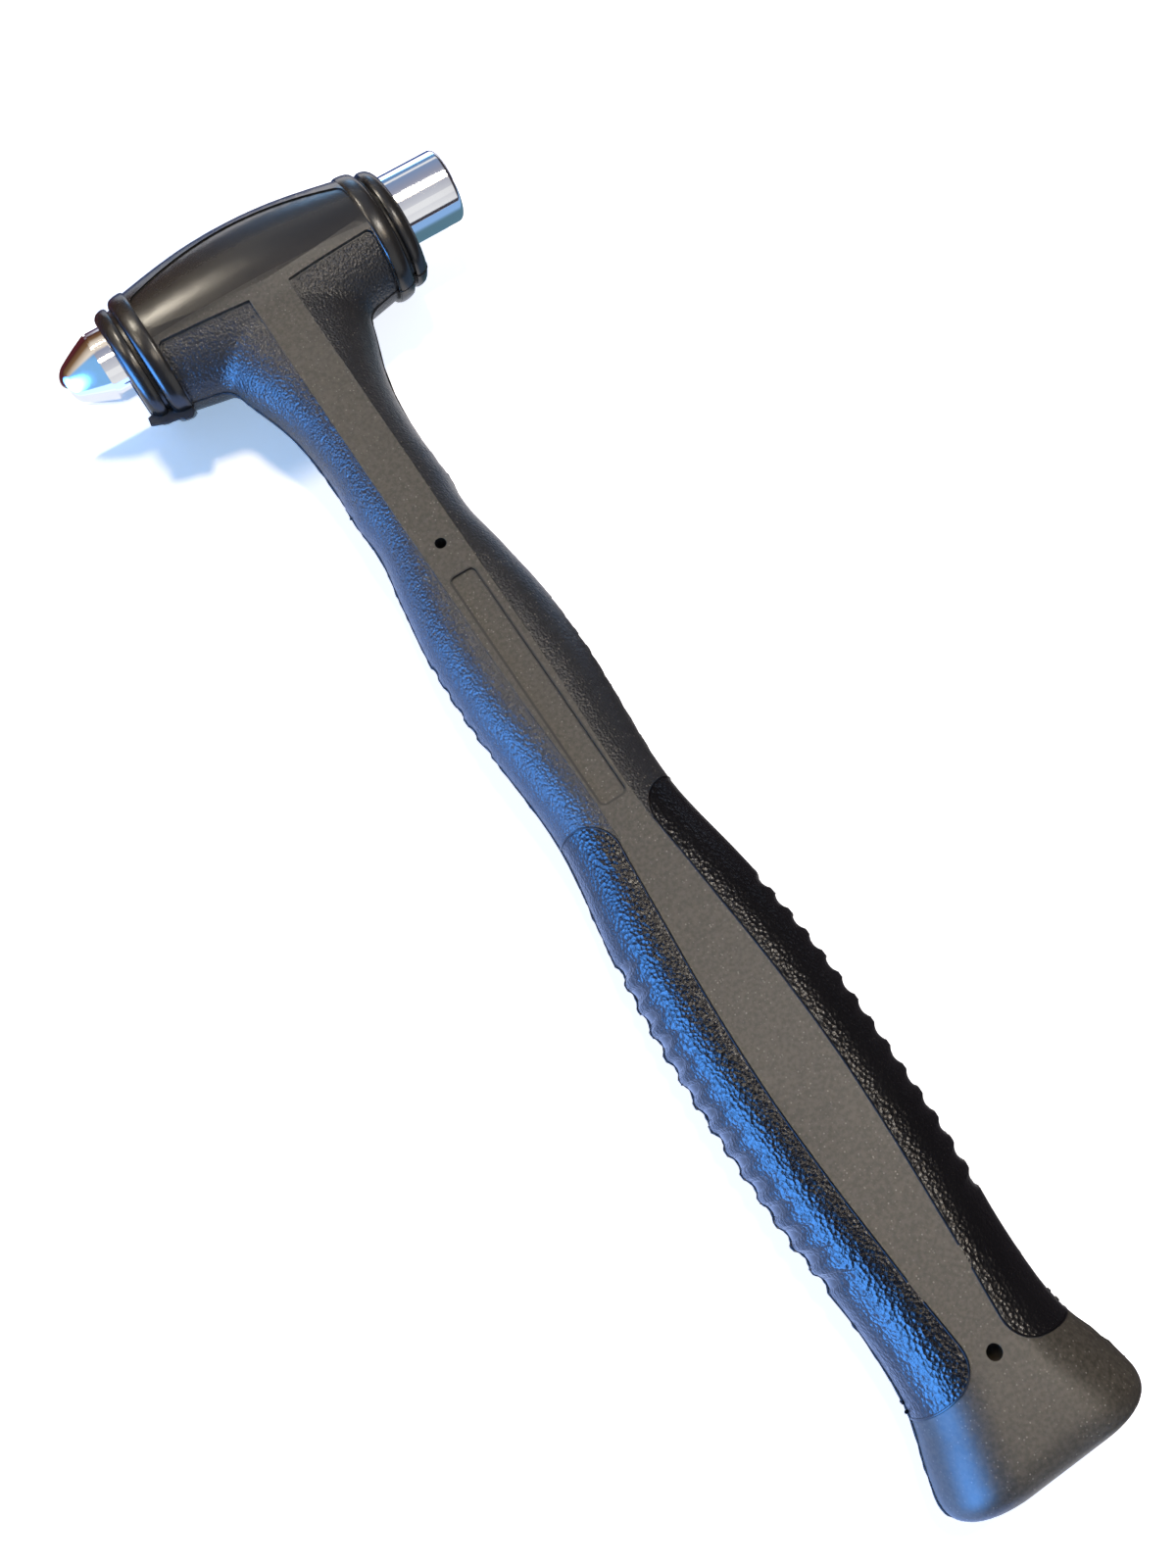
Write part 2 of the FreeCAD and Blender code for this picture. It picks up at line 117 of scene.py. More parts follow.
def metres(values):
    """Lengths in metres from a row of them in millimetres."""
    return [value * MM for value in values]


def region(tree, curve, *edges):
    """Mask of what lies past every edge, each a value with the places where the mask starts and is full."""
    mask = 1.0
    for value, (start, full) in edges:
        limits = {"Value": value, "From Min": start, "From Max": full}
        side = add_node(tree, "ShaderNodeMapRange", limits, interpolation_type=curve).outputs[0]
        mask = add_node(tree, "ShaderNodeMath", {0: mask, 1: side}, operation="MULTIPLY").outputs[0]
    return mask


def layered(tree, ground, *layers):
    """Ground colour with others laid over it in turn, each given as its mask and its tone."""
    for mask, tone in layers:
        tone = linear(tone) + [1] if isinstance(tone, str) else tone
        ground = add_node(
            tree, "ShaderNodeMix", {"Factor": mask, 6: ground, 7: tone}, data_type="RGBA"
        ).outputs[2]
    return ground


def centred_place(tree):
    """Place on the object, and its parts from the head axis and the middle of the mould."""
    place = add_node(tree, "ShaderNodeTexCoord").outputs["Object"]
    origin = (-MIDDLE_X, -AXIS_Y, -AXIS_Z)
    centred = add_node(tree, "ShaderNodeMapping", {"Vector": place, "Location": origin}).outputs[0]
    return place, *add_node(tree, "ShaderNodeSeparateXYZ", {0: centred}).outputs


def start_material(name):
    """Empty node material."""
    material = bpy.data.materials.new(name)
    material.use_nodes = True
    tree = material.node_tree
    tree.nodes.clear()
    return material, tree


# Room seen in glossy surfaces, from the horizon beyond the head, over the top, to the one beyond the butt:
# daylight blue walls, a grey ceiling between them, and white strip lamps on it, given by start and end
ROOM_BANDS = (
    (0.0, "#6098d0"),
    (0.4, "#a0a4b8"),
    (1.0, "#a8d0f8"),
)
STRIP_LAMPS = ((0.15, 0.20), (0.55, 0.58), (0.76, 0.87))
STRIP_EDGE = 0.006

# Wood beyond the peen, by height of the line of sight: dark below, lighter above, under a warm lamp
WOOD_BANDS = (
    (0.0, "#4a1e1e"),
    (0.4, "#886848"),
    (0.66, "#fff0dc"),
)

# Ways that the two lamps shine and how wide each looks, and the camera's place, turn and focal length
KEY_AIM = (-0.17, -0.37, -0.91)
KEY_DEGREES = 9.0
CEILING_AIM = (-0.30, 0.0, -0.954)
CEILING_DEGREES = 10.0
CAMERA_MM = (-39.006, -67.948, 269.734)
CAMERA_DEGREES = (16.074, 0.790, -33.021)
CAMERA_LENS_MM = 29.73
CAMERA_FILM_MM = 36.0
CAMERA_NEAR = 10 * MM
SHEET_SIZE = 6.0

# Lamps and bright panes seen in the gloss: way to each, cosines of its soft edge, strength, tone
ROOM_LAMPS = (
    ((-0.11, 0.61, 0.785), 0.9940, 0.9975, 34.0, "#fff4e0"),
    ((-0.35, 0.31, 0.884), 0.991, 0.996, 12.0, "#fff0d8"),
    ((0.00, -0.18, 0.984), 0.996, 0.9985, 16.0, "#ffeed6"),
    ((0.34, -0.20, 0.919), 0.996, 0.9985, 16.0, "#ffe6c4"),
    ((0.33, 0.94, 0.085), 0.993, 0.997, 6.0, "#8ec0f0"),
)

# Soft edges of the walls, the window and the wood, by the parts of the way to them
DIM_SIDE_X = (0.34, 0.62)
CORNER_X = (-0.06, -0.20)
WALL_X = (-0.56, -0.68)
WINDOW_X = (-0.76, -0.88)
WINDOW_FADES_Y = (-0.25, 0.60)
WOOD_Y = (0.26, 0.42)
WOOD_X = (0.14, 0.02)

# Soft edges on the sheet, from the middle of the hammer's outline or, with AXIS in the name, the head axis.
# Where painted light, glowing from the sheet, fills the shadow along the handle and right of it, and where it
# paints the pool of light that the steel ends throw
FILLED_Y_MM = (104, 93)
FILLED_X_MM = (-4, 14)
THROWN_X_MM = (33.5, 35.0)
THROWN_BELOW_AXIS_MM = (-9.2, -8.0)
# Where the sheet glows, for glossy surfaces only, with painted reflections: window light, the dim side, the
# shaded sheet by the face, and the table past the head
BESIDE_X_MM = (-8, -26)
BESIDE_Y_MM = (108, 85)
RIGHT_X_MM = (10, 28)
RIGHT_Y_MM = (48, 34)
BY_FACE_X_MM = (30, 38)
BY_FACE_AXIS_MM = (2, -3)
UNDER_FACE_Y_MM = (104, 118)
TABLE_AXIS_MM = (15, 30)
TABLE_X_MM = (-45, -25)
TABLE_END_AXIS_MM = (65, 85)
SHEET_ROUGHNESS = 0.9
# Near-black base of the sheet under its painted reflections
SHEET_IN_GLOSS = (0.01, 0.01, 0.012, 1)

# Central strip: place and half width by the head, above the recess and at its narrowest
STRIP_HEAD_MM = (-12, 4.92)
STRIP_MIDDLE_MM = (-100, 4.63)
STRIP_NARROWS_MM = -110
STRIP_NARROW_MM = (-150, 3.6)
STRIP_EDGE_MM = (0.02, 0.22)
# Grained fields: both ends of their upper line, as distance from the middle and place, then their soft edges
# there, at the rings, at the grips and at the polished panel
FIELD_AT_STRIP_MM = (4.95, -12.05)
FIELD_AT_RINGS_MM = (27.1, -9.65)
FIELD_EDGE_MM = 0.3
RINGS_MM = (27.3, 27.0)
GRIPS_MM = (-159.5, -158.5)
PANEL_MM = (-11, -8)
# Recess in the strip: half width, top, bottom and corner radius, then the edges of the painted shade along
# its outline; then the mould joint and the pin holes, whose insides are painted with shade
RECESS_MM = (2.9, -93.0, -150.9, 1.2)
RECESS_LINE_MM = (0.42, 0.20)
JOINT_Y_MM = -59.6
JOINT_LINE_MM = (0.28, 0.12)
JOINT_SHARE = 0.8
PIN_HOLES_MM = ((-84.9, 1.25), (-269.9, 1.45))
PIN_HOLE_EDGE_MM = (0.03, -0.05)
# Roughness of the plain faces and of the polished ones, how much smoother the grain is, and fine unevenness
PLASTIC_ROUGHNESS = (0.46, 0.25)
GRAIN_SMOOTHER = -0.07
FINE_BUMP = 0.10
FINE_PITCH = MM / 1.8
DUST_PITCH = MM / 1.3
DUST_EDGE = (0.35, 0.65)
# Fibre specks, partly painted glints: their soft rim as a share of their pitch, and which of the random draws
# show
SPECK_RIM = (0.30, 0.12)
SPECK_PICK = (0.6, 1.0)

# Steel: lathe lines with their stretch along the axis, roughness, and how uneven the inner pieces are
LATHE_PITCH = MM / 0.9
LATHE_STRETCH = (6.0, 0.4, 0.4)
LATHE_DEPTH = 0.004 * MM
STEEL_ROUGHNESS = (0.05, 0.12)
ROUGH_DEPTH = 0.03 * MM

# Grips: roughness of the grain and of the scoops, and the scoops' reach down the sides, width and number
ELASTOMER_ROUGHNESS = (0.27, 0.20)
ELASTOMER_IOR = 1.43
SCOOP_REACH_MM = 7.5
SCOOP_WIDTH = 1.15
SCOOP_EDGE = (0.10, 0.30)
SCOOP_COUNT = 14
TONE_PITCH = MM / 0.045

# Distances within which the points of a skin, a turned or thickened piece and a traced wire are one
SKIN_WELD = 0.002 * MM
PIECE_WELD = 0.001 * MM
WIRE_WELD = 0.02 * MM
# A seam is an edge sharper than this, between a wall this upright and a face that looks this much outwards
SEAM_DEGREES = 30
WALL_TILT = 0.02
OUTWARD_LEAST = 0.2
# How far to each side of an edge the outside is looked for
PROBE = 0.2 * MM
# Shares by which the ridge swells and shrinks, and by which torn bits are ragged
RIDGE_RAGGED_SHARE = 0.9
BIT_RAGGED_SHARE = 0.45

# Flash that the mould left, off the head axis: a torn tab under the peen's rings, and small bits with radii
RAGGED_PITCH = 0.9 * MM
FLASH_TAB = (
    (-27.3, -17.5),
    (-27.4, -20.6),
    (-28.6, -21.9),
    (-30.4, -21.6),
    (-31.0, -20.9),
    (-34.2, -20.2),
    (-36.6, -19.3),
    (-37.6, -18.8),
    (-37.3, -16.8),
    (-35.9, -16.4),
    (-35.2, -11.0),
    (-29.0, -14.0),
)
GRIP_BITS = (
    (-16.75, -270.8, 0.5),
    (-17.0, -272.6, 0.55),
    (16.7, -270.4, 0.5),
    (17.0, -272.3, 0.5),
)
CASING_BITS = ((19.9, -282.0, 0.35), (21.1, -286.5, 0.3), (-11.6, -63.5, 0.3))

# Materials


def outline_distance(tree, x, y):
    """Distance from the rounded outline of the recess in the strip, seen from above."""
    half_width, top, bottom, corner = [value * MM for value in RECESS_MM]
    sides = []
    for value, centre, half in ((x, 0.0, half_width), (y, (top + bottom) / 2, (top - bottom) / 2)):
        off = add_node(tree, "ShaderNodeMath", {0: value, 1: centre}, operation="SUBTRACT").outputs[0]
        off = add_node(tree, "ShaderNodeMath", {0: off}, operation="ABSOLUTE").outputs[0]
        past = add_node(tree, "ShaderNodeMath", {0: off, 1: half - corner}, operation="SUBTRACT")
        sides.append(past.outputs[0])
    outer = add_node(tree, "ShaderNodeCombineXYZ", {0: sides[0], 1: sides[1]}).outputs[0]
    outer = add_node(tree, "ShaderNodeVectorMath", {0: outer, 1: (0, 0, 0)}, operation="MAXIMUM").outputs[0]
    reach = add_node(tree, "ShaderNodeVectorMath", {0: outer}, operation="LENGTH").outputs["Value"]
    inner = add_node(tree, "ShaderNodeMath", {0: sides[0], 1: sides[1]}, operation="MAXIMUM").outputs[0]
    inner = add_node(tree, "ShaderNodeMath", {0: inner, 1: 0.0}, operation="MINIMUM").outputs[0]
    both = add_node(tree, "ShaderNodeMath", {0: reach, 1: inner}, operation="ADD").outputs[0]
    off = add_node(tree, "ShaderNodeMath", {0: both, 1: corner}, operation="SUBTRACT").outputs[0]
    return add_node(tree, "ShaderNodeMath", {0: off}, operation="ABSOLUTE").outputs[0]


def moulded_plastic(settings):
    """Glass-filled polypropylene, injection moulded: satin warm grey, the flanks with spark-eroded grain."""
    material, tree = start_material("moulded_polypropylene")
    place, x, y, z = centred_place(tree)
    away = add_node(tree, "ShaderNodeMath", {0: x}, operation="ABSOLUTE").outputs[0]
    # Half width of the smooth central strip, which narrows towards the grip
    upper = add_node(
        tree,
        "ShaderNodeMapRange",
        {
            "Value": y,
            "From Min": STRIP_MIDDLE_MM[0] * MM,
            "From Max": STRIP_HEAD_MM[0] * MM,
            "To Min": STRIP_MIDDLE_MM[1] * MM,
            "To Max": STRIP_HEAD_MM[1] * MM,
        },
    ).outputs[0]
    lower = add_node(
        tree,
        "ShaderNodeMapRange",
        {
            "Value": y,
            "From Min": STRIP_NARROW_MM[0] * MM,
            "From Max": STRIP_NARROWS_MM * MM,
            "To Min": STRIP_NARROW_MM[1] * MM,
            "To Max": STRIP_MIDDLE_MM[1] * MM,
        },
        interpolation_type="SMOOTHSTEP",
    ).outputs[0]
    half = add_node(tree, "ShaderNodeMath", {0: upper, 1: lower}, operation="MINIMUM").outputs[0]
    past_strip = add_node(tree, "ShaderNodeMath", {0: away, 1: half}, operation="SUBTRACT").outputs[0]
    # The fields end below the cheek panel, at a line that rises slightly away from the strip
    rise = add_node(
        tree,
        "ShaderNodeMapRange",
        {
            "Value": away,
            "From Min": FIELD_AT_STRIP_MM[0] * MM,
            "From Max": FIELD_AT_RINGS_MM[0] * MM,
            "To Min": FIELD_AT_STRIP_MM[1] * MM,
            "To Max": FIELD_AT_RINGS_MM[1] * MM,
        },
    ).outputs[0]
    below = add_node(tree, "ShaderNodeMath", {0: rise, 1: y}, operation="SUBTRACT").outputs[0]
    off_strip = (past_strip, metres(STRIP_EDGE_MM))
    below_panel = (below, metres((0, FIELD_EDGE_MM)))
    inside_rings = (away, metres(RINGS_MM))
    above_grips = (y, metres(GRIPS_MM))
    grained = region(tree, "LINEAR", off_strip, below_panel, inside_rings, above_grips)
    # Pebbled grain of the mould at its real pitch: rounded cells with softly uneven height
    cells = add_node(
        tree,
        "ShaderNodeTexVoronoi",
        {"Vector": place, "Scale": 1 / settings.grain_pitch, "Smoothness": 0.6, "Randomness": 1.0},
        feature="SMOOTH_F1",
    ).outputs["Distance"]
    swell = add_node(
        tree, "ShaderNodeTexNoise", {"Vector": place, "Scale": 0.8 / settings.grain_pitch, "Detail": 2.0}
    ).outputs["Fac"]
    pebbles = add_node(tree, "ShaderNodeMath", {0: swell, 1: cells}, operation="SUBTRACT").outputs[0]
    grain_height = add_node(tree, "ShaderNodeMath", {0: pebbles, 1: grained}, operation="MULTIPLY").outputs[0]
    # Very fine roughness of the smooth faces, and light specks for the short glass fibres: partly the fibres'
    # own tone, partly painted glints where they catch the light
    fine = add_node(tree, "ShaderNodeTexNoise", {"Vector": place, "Scale": 1 / FINE_PITCH, "Detail": 1.0})
    height = add_node(
        tree,
        "ShaderNodeMath",
        {0: fine.outputs["Fac"], 1: FINE_BUMP, 2: grain_height},
        operation="MULTIPLY_ADD",
    ).outputs[0]
    bump = add_node(tree, "ShaderNodeBump", {"Height": height, "Distance": settings.grain_depth}).outputs[0]
    fibres = add_node(tree, "ShaderNodeTexVoronoi", {"Vector": place, "Scale": 1 / settings.speck_pitch})
    pick = add_node(tree, "ShaderNodeSeparateColor", {0: fibres.outputs["Color"]}).outputs[0]
    speck_and_glint = region(tree, "LINEAR", (fibres.outputs["Distance"], SPECK_RIM), (pick, SPECK_PICK))
    dust = add_node(tree, "ShaderNodeTexNoise", {"Vector": place, "Scale": 1 / DUST_PITCH, "Detail": 2.0})
    dusty = region(tree, "LINEAR", (dust.outputs["Fac"], DUST_EDGE))
    # The cheek panel and the rings at the mouths are polished: darker and glossier than the rest
    on_panel = region(tree, "LINEAR", (y, metres(PANEL_MM)))
    on_rings = region(tree, "LINEAR", (away, metres(reversed(RINGS_MM))))
    polished = add_node(tree, "ShaderNodeMath", {0: on_panel, 1: on_rings}, operation="MAXIMUM").outputs[0]
    # Dark places: painted shade along the outline of the recess in the strip and in the pin holes, and the
    # dark line of the mould joint across the neck
    outline = outline_distance(tree, x, y)
    off_joint = add_node(tree, "ShaderNodeMath", {0: y, 1: JOINT_Y_MM * MM}, operation="SUBTRACT").outputs[0]
    off_joint = add_node(tree, "ShaderNodeMath", {0: off_joint}, operation="ABSOLUTE").outputs[0]
    joint = region(tree, "LINEAR", (off_joint, metres(JOINT_LINE_MM)), off_strip)
    joint = add_node(tree, "ShaderNodeMath", {0: joint, 1: JOINT_SHARE}, operation="MULTIPLY").outputs[0]
    spots = [joint]
    for hole_y, hole_radius in PIN_HOLES_MM:
        off_y = add_node(tree, "ShaderNodeMath", {0: y, 1: hole_y * MM}, operation="SUBTRACT").outputs[0]
        off_hole = add_node(tree, "ShaderNodeCombineXYZ", {0: x, 1: off_y}).outputs[0]
        off_hole = add_node(tree, "ShaderNodeVectorMath", {0: off_hole}, operation="LENGTH").outputs["Value"]
        rim = metres(hole_radius + edge for edge in PIN_HOLE_EDGE_MM)
        spots.append(region(tree, "SMOOTHSTEP", (off_hole, rim)))
    # Painted shade: the recess outline and the pin holes are darkened for the shade in them; the mould joint
    # is a dark line of its own
    painted_shade_and_joint = region(tree, "LINEAR", (outline, metres(RECESS_LINE_MM)))
    for spot in spots:
        painted_shade_and_joint = add_node(tree, "ShaderNodeMath", {0: painted_shade_and_joint, 1: spot}, operation="MAXIMUM").outputs[0]
    base = layered(
        tree,
        linear(settings.dark_hex) + [1],
        (dusty, settings.light_hex),
        (grained, settings.grain_hex),
        (speck_and_glint, settings.speck_and_glint_hex),
        (polished, settings.panel_hex),
        (painted_shade_and_joint, settings.shade_and_joint_hex),
    )
    plain, glossy = PLASTIC_ROUGHNESS
    gloss = add_node(tree, "ShaderNodeMapRange", {"Value": polished, "To Min": plain, "To Max": glossy})
    gloss = add_node(
        tree,
        "ShaderNodeMath",
        {0: grained, 1: GRAIN_SMOOTHER, 2: gloss.outputs[0]},
        operation="MULTIPLY_ADD",
    ).outputs[0]
    shader = add_node(
        tree, "ShaderNodeBsdfPrincipled", {"Base Color": base, "Roughness": gloss, "IOR": 1.5, "Normal": bump}
    )
    add_node(tree, "ShaderNodeOutputMaterial", {"Surface": shader.outputs[0]})
    return material


def soft_elastomer(settings):
    """Thermoplastic elastomer, overmoulded in a grained tool: near black, wrinkled, with smooth scoops."""
    material, tree = start_material("grained_elastomer")
    place, x, y, z = centred_place(tree)
    # Leather grain: a raised network of wrinkles round small hollows, drawn out by a slow swirl
    swirl = add_node(
        tree, "ShaderNodeTexNoise", {"Vector": place, "Scale": 0.5 / settings.grain_pitch, "Detail": 1.0}
    ).outputs["Color"]
    pulled = add_node(
        tree, "ShaderNodeVectorMath", {0: swirl, 1: (0.5 * settings.grain_pitch,) * 3}, operation="MULTIPLY"
    ).outputs[0]
    swirled = add_node(tree, "ShaderNodeVectorMath", {0: place, 1: pulled}, operation="ADD").outputs[0]
    cells = add_node(
        tree,
        "ShaderNodeTexVoronoi",
        {"Vector": swirled, "Scale": 1 / settings.grain_pitch},
    ).outputs["Distance"]
    creases = add_node(
        tree, "ShaderNodeTexNoise", {"Vector": place, "Scale": 1.6 / settings.grain_pitch, "Detail": 1.0}
    ).outputs["Fac"]
    wrinkles = add_node(
        tree, "ShaderNodeMath", {0: creases, 1: 0.4, 2: cells}, operation="MULTIPLY_ADD"
    ).outputs[0]
    # The scoops between the finger ribs are smooth
    pitch = settings.rib_pitch
    turns = add_node(
        tree,
        "ShaderNodeMath",
        {0: y, 1: math.tau / pitch, 2: -math.tau * settings.first_scoop / pitch},
        operation="MULTIPLY_ADD",
    ).outputs[0]
    wave = add_node(tree, "ShaderNodeMath", {0: turns}, operation="COSINE").outputs[0]
    side = add_node(tree, "ShaderNodeMath", {0: z}, operation="ABSOLUTE").outputs[0]
    side = add_node(
        tree,
        "ShaderNodeMapRange",
        {"Value": side, "From Max": SCOOP_REACH_MM * MM, "To Min": SCOOP_WIDTH, "To Max": 0.0},
    ).outputs[0]
    hollow = add_node(tree, "ShaderNodeMath", {0: wave, 1: side}, operation="MULTIPLY").outputs[0]
    row_middle = settings.first_scoop - (SCOOP_COUNT - 1) / 2 * pitch
    in_row = add_node(
        tree, "ShaderNodeMath", {0: y, 1: row_middle, 2: SCOOP_COUNT / 2 * pitch}, operation="COMPARE"
    ).outputs[0]
    scoop = region(tree, "LINEAR", (hollow, SCOOP_EDGE), (in_row, (0, 1)))
    rough = add_node(tree, "ShaderNodeMath", {0: 1.0, 1: scoop}, operation="SUBTRACT").outputs[0]
    height = add_node(tree, "ShaderNodeMath", {0: wrinkles, 1: rough}, operation="MULTIPLY").outputs[0]
    grained, smooth = ELASTOMER_ROUGHNESS
    gloss = add_node(tree, "ShaderNodeMapRange", {"Value": scoop, "To Min": grained, "To Max": smooth})
    tone = add_node(tree, "ShaderNodeTexNoise", {"Vector": place, "Scale": 1 / TONE_PITCH, "Detail": 2.0})
    base = layered(tree, linear(settings.dark_hex) + [1], (tone.outputs["Fac"], settings.light_hex))
    bump = add_node(tree, "ShaderNodeBump", {"Height": height, "Distance": settings.grain_depth}).outputs[0]
    shader = add_node(
        tree,
        "ShaderNodeBsdfPrincipled",
        {"Base Color": base, "Roughness": gloss.outputs[0], "IOR": ELASTOMER_IOR, "Normal": bump},
    )
    add_node(tree, "ShaderNodeOutputMaterial", {"Surface": shader.outputs[0]})
    return material


def seam_gap(settings):
    """Thin flash of elastomer in the seam between the two materials: black and slightly shiny."""
    material, tree = start_material("elastomer_flash")
    shader = add_node(
        tree,
        "ShaderNodeBsdfPrincipled",
        {"Base Color": linear(settings.flash_hex) + [1], "Roughness": 0.30, "IOR": 1.48},
    )
    add_node(tree, "ShaderNodeOutputMaterial", {"Surface": shader.outputs[0]})
    return material


def plastic_flash(settings):
    """Thin torn ridge of polypropylene at the parting plane: dull and nearly black."""
    material, tree = start_material("polypropylene_flash")
    shader = add_node(
        tree,
        "ShaderNodeBsdfPrincipled",
        {"Base Color": linear(settings.ridge_hex) + [1], "Roughness": 0.75, "IOR": 1.5},
    )
    add_node(tree, "ShaderNodeOutputMaterial", {"Surface": shader.outputs[0]})
    return material


def polished_steel(settings):
    """Turned and polished tool steel: mirror bright, with faint lathe lines round the axis."""
    material, tree = start_material("polished_tool_steel")
    place = add_node(tree, "ShaderNodeTexCoord").outputs["Object"]
    stretched = add_node(tree, "ShaderNodeMapping", {"Vector": place, "Scale": LATHE_STRETCH}).outputs[0]
    lines = add_node(
        tree, "ShaderNodeTexNoise", {"Vector": stretched, "Scale": 1 / LATHE_PITCH, "Detail": 3.0}
    ).outputs["Fac"]
    smooth, lined = STEEL_ROUGHNESS
    roughness = add_node(
        tree,
        "ShaderNodeMapRange",
        {"Value": lines, "From Min": 0.3, "From Max": 0.7, "To Min": smooth, "To Max": lined},
    ).outputs[0]
    bump = add_node(
        tree,
        "ShaderNodeBump",
        {"Height": lines, "Strength": 0.25, "Distance": LATHE_DEPTH},
    ).outputs[0]
    tone = linear(settings.steel_hex) + [1]
    shader = add_node(
        tree,
        "ShaderNodeBsdfPrincipled",
        {"Base Color": tone, "Metallic": 1.0, "Roughness": roughness, "Normal": bump},
    )
    add_node(tree, "ShaderNodeOutputMaterial", {"Surface": shader.outputs[0]})
    return material


def plain_steel(name, hex_code, low, high, pitch):
    """Drawn, welded or cut steel inside the tool: grey and dull, uneven at the given pitch."""
    material, tree = start_material(name)
    place = add_node(tree, "ShaderNodeTexCoord").outputs["Object"]
    uneven = add_node(
        tree,
        "ShaderNodeTexNoise",
        {"Vector": place, "Scale": 1 / pitch, "Detail": 3.0},
    ).outputs["Fac"]
    roughness = add_node(
        tree,
        "ShaderNodeMapRange",
        {"Value": uneven, "To Min": low, "To Max": high},
    ).outputs[0]
    bump = add_node(
        tree,
        "ShaderNodeBump",
        {"Height": uneven, "Strength": 0.5, "Distance": ROUGH_DEPTH},
    ).outputs[0]
    shader = add_node(
        tree,
        "ShaderNodeBsdfPrincipled",
        {"Base Color": linear(hex_code) + [1], "Metallic": 1.0, "Roughness": roughness, "Normal": bump},
    )
    add_node(tree, "ShaderNodeOutputMaterial", {"Surface": shader.outputs[0]})
    return material


def studio_floor(settings):
    """Matt white sheet with a pale blue shadow. It glows with painted light that fills the shadow along the
    handle and under the steel ends, and with painted reflections, cool on the window's side and ending beyond
    the head, that only glossy surfaces see.
    """
    material, tree = start_material("white_sheet")
    place = add_node(tree, "ShaderNodeTexCoord").outputs["Object"]
    x, y, z = add_node(tree, "ShaderNodeSeparateXYZ", {0: place}).outputs
    from_axis = add_node(tree, "ShaderNodeMath", {0: y, 1: AXIS_Y}, operation="SUBTRACT").outputs[0]
    away = add_node(tree, "ShaderNodeMath", {0: x, 1: MIDDLE_X}, operation="SUBTRACT").outputs[0]
    away = add_node(tree, "ShaderNodeMath", {0: away}, operation="ABSOLUTE").outputs[0]

    def area(*edges):
        """Mask of a part of the sheet, from edges in millimetres."""
        return region(tree, "SMOOTHSTEP", *((value, metres(limits)) for value, limits in edges))

    path = add_node(tree, "ShaderNodeLightPath").outputs
    glossy = path["Is Glossy Ray"]
    # Painted light: the sheet glows white to fill the shadow along the handle and right of it, and paints the
    # pool of light that the steel ends throw
    fill = area((y, FILLED_Y_MM))
    for mask in (area((x, FILLED_X_MM)), area((away, THROWN_X_MM), (from_axis, THROWN_BELOW_AXIS_MM))):
        fill = add_node(tree, "ShaderNodeMath", {0: fill, 1: mask}, operation="MAXIMUM").outputs[0]
    lift = add_node(
        tree,
        "ShaderNodeMapRange",
        {"Value": fill, "To Min": settings.floor_lift, "To Max": settings.fill_lift},
    ).outputs[0]
    seen = add_node(tree, "ShaderNodeMath", {0: path["Is Camera Ray"], 1: glossy}, operation="ADD").outputs[0]
    lift = add_node(tree, "ShaderNodeMath", {0: seen, 1: lift}, operation="MULTIPLY").outputs[0]
    lift_tone = layered(tree, linear(settings.lift_hex) + [1], (fill, settings.fill_hex))
    # Painted reflections, which only glossy surfaces see: window light on the sheet left of the handle, dark
    # table beyond the head, the dim side on the right and the shaded sheet by the face
    beside = area((x, BESIDE_X_MM), (y, BESIDE_Y_MM))
    right = area((x, RIGHT_X_MM), (y, RIGHT_Y_MM))
    by_face = area((x, BY_FACE_X_MM), (y, reversed(RIGHT_Y_MM)), (from_axis, BY_FACE_AXIS_MM))
    table_end = area((x, TABLE_X_MM), (from_axis, TABLE_END_AXIS_MM))
    dark = add_node(tree, "ShaderNodeMath", {0: 1.0, 1: table_end}, operation="SUBTRACT").outputs[0]
    past_head = area((from_axis, TABLE_AXIS_MM))
    past_head = add_node(tree, "ShaderNodeMath", {0: past_head, 1: dark}, operation="MULTIPLY").outputs[0]
    by_table = area((x, TABLE_X_MM))
    table = layered(tree, linear(settings.table_hex) + [1], (by_table, settings.far_hex))
    below_face = area((y, UNDER_FACE_Y_MM))
    under_face = layered(tree, linear(settings.blue_hex) + [1], (below_face, settings.teal_hex))
    window_tint = [c * settings.beside_power for c in linear(settings.beside_hex)] + [1]
    tones = ((beside, window_tint), (past_head, table), (right, settings.dim_hex), (by_face, under_face))
    glow = lift_tone
    tinted = 0.0
    for mask, tone in tones:
        mask = add_node(tree, "ShaderNodeMath", {0: glossy, 1: mask}, operation="MULTIPLY").outputs[0]
        tinted = add_node(tree, "ShaderNodeMath", {0: tinted, 1: mask}, operation="MAXIMUM").outputs[0]
        glow = layered(tree, glow, (mask, tone))
    base = layered(tree, linear(settings.floor_hex) + [1], (tinted, SHEET_IN_GLOSS))
    power = add_node(tree, "ShaderNodeMix", {"Factor": tinted, 2: lift, 3: 1.0}, data_type="FLOAT").outputs[0]
    shader = add_node(
        tree,
        "ShaderNodeBsdfPrincipled",
        {
            "Base Color": base,
            "Roughness": SHEET_ROUGHNESS,
            "Specular IOR Level": 0.0,
            "Emission Color": glow,
            "Emission Strength": power,
        },
    )
    add_node(tree, "ShaderNodeOutputMaterial", {"Surface": shader.outputs[0]})
    return material


